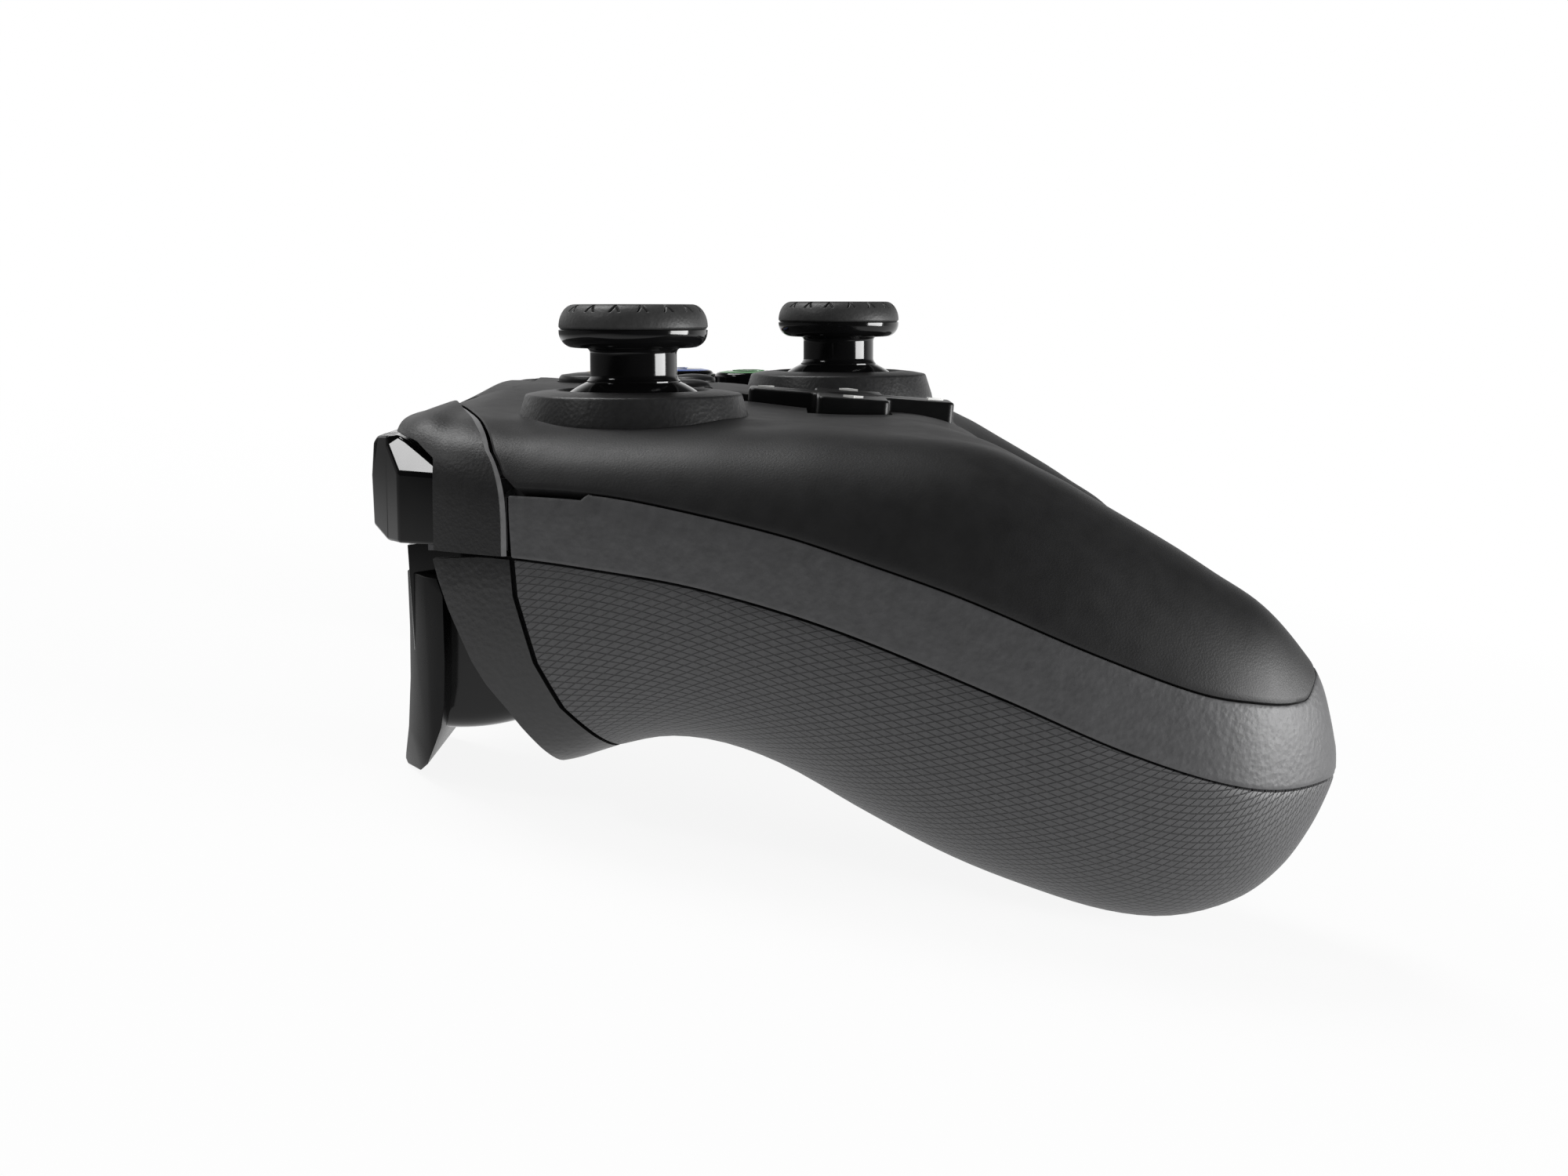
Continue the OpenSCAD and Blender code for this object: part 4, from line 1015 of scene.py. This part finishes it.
def make_cap(name, at):
    """A dense revolved grid, so that the slanting notches at the edge can be pressed into it."""
    wall = [(0.01, CAP_SEAM + 0.02), (CAP_R - 0.16, CAP_SEAM + 0.02), (CAP_R, CAP_SEAM + 0.2)]
    foot = CAP_SEAM + 0.25
    shoulder = [(CAP_R - CAP_ROUND + CAP_ROUND * math.cos(a), foot + (CAP_TOP - foot) * math.sin(a))
                for a in np.radians(np.linspace(2, 88, 44))]
    dish = [(CAP_R - 2.0, CAP_TOP), (CAP_R - 2.3, CAP_TOP - 0.1), (CAP_R - 2.7, CAP_TOP - 0.3),
            (CAP_R - 3.2, CAP_TOP - 0.5), (CAP_R - 4.3, CAP_TOP - 0.7), (2.4, CAP_TOP - 0.86), (0.01, CAP_TOP - 0.9)]
    profile = np.array(wall + shoulder + dish)
    turn = np.linspace(0, 2 * np.pi, CAP_TURNS + 1)[:-1]
    r, z = profile[:, 0][:, None], profile[:, 1][:, None]
    pitch = 2 * np.pi / NOTCHES
    place = (np.mod(turn, pitch) - pitch / 2)[None] * CAP_R
    run = (z - (CAP_TOP - NOTCH_RUN)) / NOTCH_RUN
    slant = np.abs(np.abs(place) - NOTCH_LEAN * (1 - run))
    deep = NOTCH_DEEP * np.clip(1 - slant / NOTCH_HALF, 0, 1) * ease((1.15 - np.abs(run)) / 0.3) * (r > CAP_R - 2.0)
    r = r - deep
    grid = np.stack([r * np.cos(turn), r * np.sin(turn), z - deep * 0.5 + 0 * turn], axis=-1) + np.array(at)
    cap = lay_grid(name, grid.transpose(1, 0, 2)[np.r_[0:CAP_TURNS, 0]], CAP_RUBBER)
    mend(cap, 2e-6)
    smooth(cap, 40)
    return cap


for name, at in STICKS.items():
    settle(make_post("post_skin_" + name, at), name + "_thumb", "gloss_black", "stick_post_" + name)
    settle(make_cap("cap_skin_" + name, at), name + "_thumb", "cap_rubber", "stick_cap_" + name)
print("sticks made")

# %% [markdown]
# The bumpers and triggers are polished and sharp-edged, so their light lines come from bevels. Each is a plate
# drawn from the side and trimmed along lines seen from above, with its edges rounded after the cut.

# %% Bumpers
BUMPER_SIDE = [[39.6, -5.0], [41.2, -3.3], [43, -2.1], [44.2, -1.5], [46.8, -1.75], [47.5, -2.6], [47.9, -6.5],
               [47.7, -12.2], [45.4, -13.75], [42.4, -13.75], [42.4, -6.6], [39.6, -6.6]]
END_SIDE = [[36.8, -13.7], [36.8, -6.4], [38.9, -4.9], [41.2, -3.3], [43, -2.1], [44.2, -1.5], [46.8, -1.75],
            [47.5, -2.6], [47.9, -6.5], [47.7, -12.2], [45.4, -13.7]]
BUMPER_PLAN = [[21.4, 46.4], [36, 47.9], [49, 47.9], [55.4, 43.8], [57.2, 39.5], [57.32, 36.8]]
BUMPER_X, END_X, BUMPER_EDGE = (21.4, 53), (46, 58), 0.35
SHOULDER_AT, SHOULDER_WAY = (57.2, 39.5, -5.8), (0.805, 0.32, 0.497)


def trim(piece, outline, side, planes=()):
    """Cut a piece along each side of a convex plan outline, then by planes, and close the cuts."""
    walls = [((x0, y0, 0), (y0 - y1, x1 - x0, 0)) for (x0, y0), (x1, y1) in zip(outline[:-1], outline[1:])]
    with editing(piece):
        for at, way in walls + list(planes):
            bpy.ops.mesh.select_all(action="SELECT")
            away = FACE.to_3x3() @ Vector((side * way[0], way[1], way[2])).normalized()
            bpy.ops.mesh.bisect(plane_co=Vector(row([side * at[0], at[1], at[2]])), plane_no=away, use_fill=True,
                                clear_outer=True)
        turn_out(1e-6)


def dress(piece, material):
    piece.data.materials.clear()
    piece.data.materials.append(material)


for name, side in SIDES:
    bumper = side_prism("bumper_skin_" + name, BUMPER_SIDE, *ends(side, *BUMPER_X))
    trim(bumper, BUMPER_PLAN[:4], side)
    round_edges(bumper, BUMPER_EDGE)
    end = side_prism("end", END_SIDE, *ends(side, *END_X))
    trim(end, BUMPER_PLAN[1:], side, [(SHOULDER_AT, SHOULDER_WAY)])
    round_edges(end, BUMPER_EDGE)
    bumper = join([bumper, end])
    dress(bumper, GLOSS_BLACK)
    smooth(bumper, 30)
    apply_modifier(bumper, "WEIGHTED_NORMAL", keep_sharp=True)
    settle(bumper, name + "_bumper", "gloss_black", "bumper_" + name)
print("bumper faces:", len(bumper.data.polygons))

# %% [markdown]
# A trigger is a blade in front and, behind it, a round skirt about its pin that closes the opening as it is pulled.

# %% Triggers
BLADE_SIDE = [[43.8, -17.4], [43.6, -24], [43.7, -30], [44.2, -36], [44.8, -39.4], [44.9, -40.2], [44.5, -40.7],
              [42.4, -40.7], [41.2, -39.5], [40.1, -37], [39.2, -34.8], [38.7, -32], [38.5, -27], [38.6, -19.5],
              [39.4, -17.6]]
BLADE_X, BLADE_EDGE = (29.8, 58), 0.45
BLADE_PLAN = [[29.8, 45.4], [47, 45.4], [50, 43.9], [55.2, 40.9], [57.5, 38.4]]
SKIRT_STEPS = [[52, 21.6], [51.95, 22.2], [51.7, 22.9], [51.3, 23.5], [50.7, 24.05], [50, 24.45], [49.2, 24.7],
               [48.2, 24.8], [30.4, 24.8], [30, 24.6], [29.8, 24.2]]


def skirt_outline(r):
    """The skirt seen from the side: a sector about the pin, from its front wall back by 42 degrees."""
    rim = [[r * math.sin(a), -r * math.cos(a)] for a in np.radians(np.linspace(11.6, -42, 41))]
    return [[PIN[0] + y, PIN[1] + z] for y, z in [[-1.5, 1], [2.2, -2.3], [5.4, -2.8]] + rim]


def make_skirt(side):
    rows = [[[side * x, y, z] for y, z in skirt_outline(r)] for x, r in SKIRT_STEPS]
    skirt = lay_grid("skirt", np.array(rows), GLOSS_BLACK, close=True)
    mend(skirt)
    return skirt


for name, side in SIDES:
    trigger = side_prism("trigger_skin_" + name, BLADE_SIDE, *ends(side, *BLADE_X))
    trim(trigger, BLADE_PLAN, side)
    round_edges(trigger, BLADE_EDGE)
    dress(trigger, TRIGGER_BLACK)
    trigger = join([trigger, make_skirt(side)])
    smooth(trigger, 30)
    settle(trigger, name + "_trigger", "gloss_black", "trigger_" + name)
print("trigger faces:", len(trigger.data.polygons))

# %% [markdown]
# The cross is one polished piece with four arms and crisp, slightly rounded corners. A small white arrow stands
# near the end of each arm, and the middle is a shallow round hollow.

# %% Cross
CROSS_LOW, CROSS_TILT = -5.05, math.radians(4.2)
CROSS_FOOT, CROSS_TOP, CROSS_CORNER, CROSS_EDGE = 2.2, 6.75, 0.8, 0.34
HOLLOW_R, HOLLOW_LIFT = 9, 8.1
ARROW, ARROW_Z = [(12.0, 0), (9.9, 1.25), (9.9, -1.25)], (6.6, 7.0)
CROSS = FACE @ Matrix.Translation(Vector((*CROSS_AT, CROSS_LOW)) * MM) @ Matrix.Rotation(CROSS_TILT, 4, "X")


def cross_piece():
    flat = [(x * MM, y * MM, CROSS_FOOT * MM) for x, y in cross_outline(ARM, SPAN)]
    piece = new_piece("cross_skin", flat, [tuple(range(12))])
    with editing(piece):
        bpy.ops.mesh.bevel(offset=CROSS_CORNER * MM, segments=6, affect="VERTICES")
    extrude(piece, (0, 0, (CROSS_TOP - CROSS_FOOT) * MM))
    round_edges(piece, CROSS_EDGE, 4, 50)
    bpy.ops.object.select_all(action="DESELECT")
    bpy.ops.mesh.primitive_uv_sphere_add(segments=96, ring_count=64, radius=HOLLOW_R * MM,
                                         location=(0, 0, (CROSS_TOP + HOLLOW_LIFT) * MM))
    hollow = bpy.context.object
    bpy.ops.object.transform_apply()
    combine(piece, hollow)
    dress(piece, CROSS_BLACK)
    place_in(piece, CROSS)
    smooth(piece, 28)
    return piece


def arrow_mark(name, angle):
    """A small raised triangle near the end of one arm."""
    points = [(x * MM, y * MM, z * MM) for z in ARROW_Z for x, y in ARROW]
    piece = new_piece(name, points, [(0, 2, 1), (3, 4, 5), (0, 1, 4, 3), (1, 2, 5, 4), (2, 0, 3, 5)], MARK_WHITE)
    place_in(piece, CROSS @ Matrix.Rotation(math.radians(angle), 4, "Z"))
    mend(piece)
    return piece


cross = cross_piece()
settle(cross, "dpad_cross", "gloss_black", "dpad")
for k in range(4):
    settle(arrow_mark("cross_arrow_%d" % k, 90 * k), "dpad_cross", "gloss_black")
print("cross faces:", len(cross.data.polygons))

# %% [markdown]
# The four action buttons are polished domes. Each has a coloured band round its crown and a plain outline on top: a
# square, a ring, a triangle or a hexagon, so that nothing is written on them.

# %% Buttons
BUTTON_TOP, HOME_TOP, SMALL_TOP = 2.4, 1.2, 1.0
CROWN, CROWN_DROP = 0.62, 0.14
FLANGE, FLANGE_LOW, FLANGE_TOP, SHOULDER_R = 0.9, -4.0, -3.3, 0.75
CROWN_R = BUTTON_R * CROWN
MARK_R, MARK_HOLE, MARK_LIFT, MARK_WALL = 2.5, 1.9, 0.09, 0.16
HALO_R, HALO_HOLE, HALO_LOW, HALO_LIFT = 4.6, 3.4, -0.1, 0.03


def make_button(name, at, r, top, material):
    """A dome on a straight wall, with a flange below that stops it at the face."""
    profile = ([(r + FLANGE, FLANGE_LOW), (r + FLANGE, FLANGE_TOP), (r, FLANGE_TOP), (r, top - 1.2)]
               + arc((r - SHOULDER_R, top - 1.05), SHOULDER_R, 5, 62, 8)
               + [(r * CROWN, top - CROWN_DROP), (r * 0.35, top - 0.04), (0.4, top)])
    return turned(name, at, profile, material, count=72)


def make_mark(name, at, sides, material):
    """A flat ring with a few sides, lying on the crown of a button."""
    points = []
    for radius in (MARK_R, MARK_HOLE):
        for k in range(sides):
            turn = 2 * math.pi * (k + 0.5) / sides - math.pi / 2
            height = BUTTON_TOP - CROWN_DROP * (radius / CROWN_R) ** 2 + MARK_LIFT
            points.append((radius * math.cos(turn) * MM, radius * math.sin(turn) * MM, height * MM))
    faces = [(k, (k + 1) % sides, sides + (k + 1) % sides, sides + k) for k in range(sides)]
    piece = new_piece(name, points, faces, material)
    apply_modifier(piece, "SOLIDIFY", thickness=MARK_WALL * MM, offset=-1)
    place_in(piece, FACE @ Matrix.Translation(Vector(at) * MM))
    mend(piece)
    return piece


def make_halo(name, at, material):
    """A coloured band round the crown, on the slope between shoulder and top."""
    slope = 0.248 / (BUTTON_R - 0.398 - CROWN_R)
    corners = ((HALO_R, HALO_LOW), (HALO_R, HALO_LIFT), (HALO_HOLE, HALO_LIFT), (HALO_HOLE, HALO_LOW))
    profile = [(r, BUTTON_TOP - CROWN_DROP - (r - CROWN_R) * slope + lift) for r, lift in corners]
    return turned(name, at, profile, material, count=72, close_top=False, close_foot=False)


def on_face_level(x, y):
    """A place on the face, with its height."""
    return x, y, float(face_at(np.array(float(x)), np.array(float(y))))


MARKS = {"button_front": ("mark_yellow", (0.4, 0.27, 0.02), 4), "button_back": ("mark_green", (0.03, 0.24, 0.04), 48),
         "button_inner": ("mark_blue", (0.02, 0.09, 0.42), 3), "button_outer": ("mark_red", (0.34, 0.02, 0.012), 6)}
for name, (label, color, sides) in MARKS.items():
    at, paint = on_face_level(*BUTTONS[name]), finish(label, color, 0.25, grain=700, spread=0.08)
    settle(make_halo(name + "_halo", at, paint), name + "_cap", "button_gloss")
    settle(make_button(name + "_skin", at, BUTTON_R, BUTTON_TOP, BUTTON_GLOSS), name + "_cap", "button_gloss", name)
    settle(make_mark(name + "_mark", at, sides, paint), name + "_cap", "button_gloss")
for name, (x, y, r) in CENTRE_BUTTONS.items():
    top = HOME_TOP if name == "home" else SMALL_TOP
    button = make_button(name + "_skin", on_face_level(x, y), r, top, BUTTON_MATTE)
    settle(button, name + "_button_cap", "button_matte", name + "_button")
print("buttons made")

# %% [markdown]
# The bridge closes the front between the bumpers. A narrow level strip on top, a little higher in the middle, meets
# the face plate at a dark joint; before it the bridge slopes down to its front wall, where the cable socket opens.

# %% Bridge
PIVOT_AT = (23.4, 43.4)
EAR = [[18, 41.2], [25.2, 41.2], [25.2, 45.5], [18, 45.5]]
EAR_LOW, EAR_TOP = -15.75, -14.2
CABLE_HALF, PIVOT_R, PIVOT_SPAN = 5.2, 1.2, (-0.5, 7.7)
CABLE_ROOM = [[30, -10.3], [50, -10.3], [50, -5.7], [30, -5.7]]


def bridge_profile(x):
    """Depth and height round one slice of the bridge, starting at the rear of its top strip."""
    swell = 1 - (x / 21) ** 2
    rear, front, top = 36.05 - 1.45 * swell, 39.77 - 1.06 * swell, 1.41 + 1.16 * swell
    ring = [[rear, top - 1.5], [rear, top - 0.2], [rear + 0.2, top], [front - 0.5, top], [front, top - 0.1],
            [42.6, 0.2], [43.6, -0.9], [43.6, EAR_LOW], [41.2, EAR_LOW], [41.2, -1.8], [40.2, -0.6],
            [front - 1.2, top - 1.6]]
    return [[x, y, z] for y, z in ring]


bridge = lay_grid("bridge_skin", np.array([bridge_profile(x) for x in np.linspace(-20.9, 20.9, 43)]), COLLAR_SATIN,
                  close=True)
mend(bridge)
combine(bridge, side_prism("cut", CABLE_ROOM, -CABLE_HALF, CABLE_HALF))
lugs = []
for side in (-1, 1):
    lugs.append(plan_prism("ear", [[side * x, y] for x, y in EAR], EAR_LOW, EAR_TOP))
    low, high = (EAR_TOP + z for z in PIVOT_SPAN)
    lugs.append(drum("pin", (side * PIVOT_AT[0], PIVOT_AT[1], 0), PIVOT_R, low, high, count=32))
for lug in lugs:
    lug.data.materials.append(COLLAR_SATIN)
bridge = join([bridge] + lugs)
smooth(bridge)
settle(bridge, "housing", "collar_satin", "front_bridge")
print("bridge faces:", len(bridge.data.polygons))

# %% [markdown]
# What lies inside stays as it was packed, with its own finish: boards, stick modules, motors and pins are
# only glimpsed through gaps, but an open view should still look like the real thing.

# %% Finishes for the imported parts
INSIDE = {"stick_module": CASE_GREY, "stick_gimbal": ZINC, "stick_shaft": ZINC,
          "trigger_pin": STEEL, "trigger_bracket": CASE_GREY, "dpad_rocker": ZINC, "dpad_mount": CASE_GREY,
          "button_board": BOARD_GREEN, "button_membrane": MEMBRANE, "main_board": BOARD_GREEN, "motor": CASE_GREY,
          "weight": ZINC, "jack_socket": SOCKET_BLACK, "cable_socket": ZINC, "case_screws": STEEL}
for name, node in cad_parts.items():
    for start, material in INSIDE.items():
        if name.startswith(start):
            for slot in node.material_slots:
                slot.material = material
print("dressed inside:", len(INSIDE), "kinds")
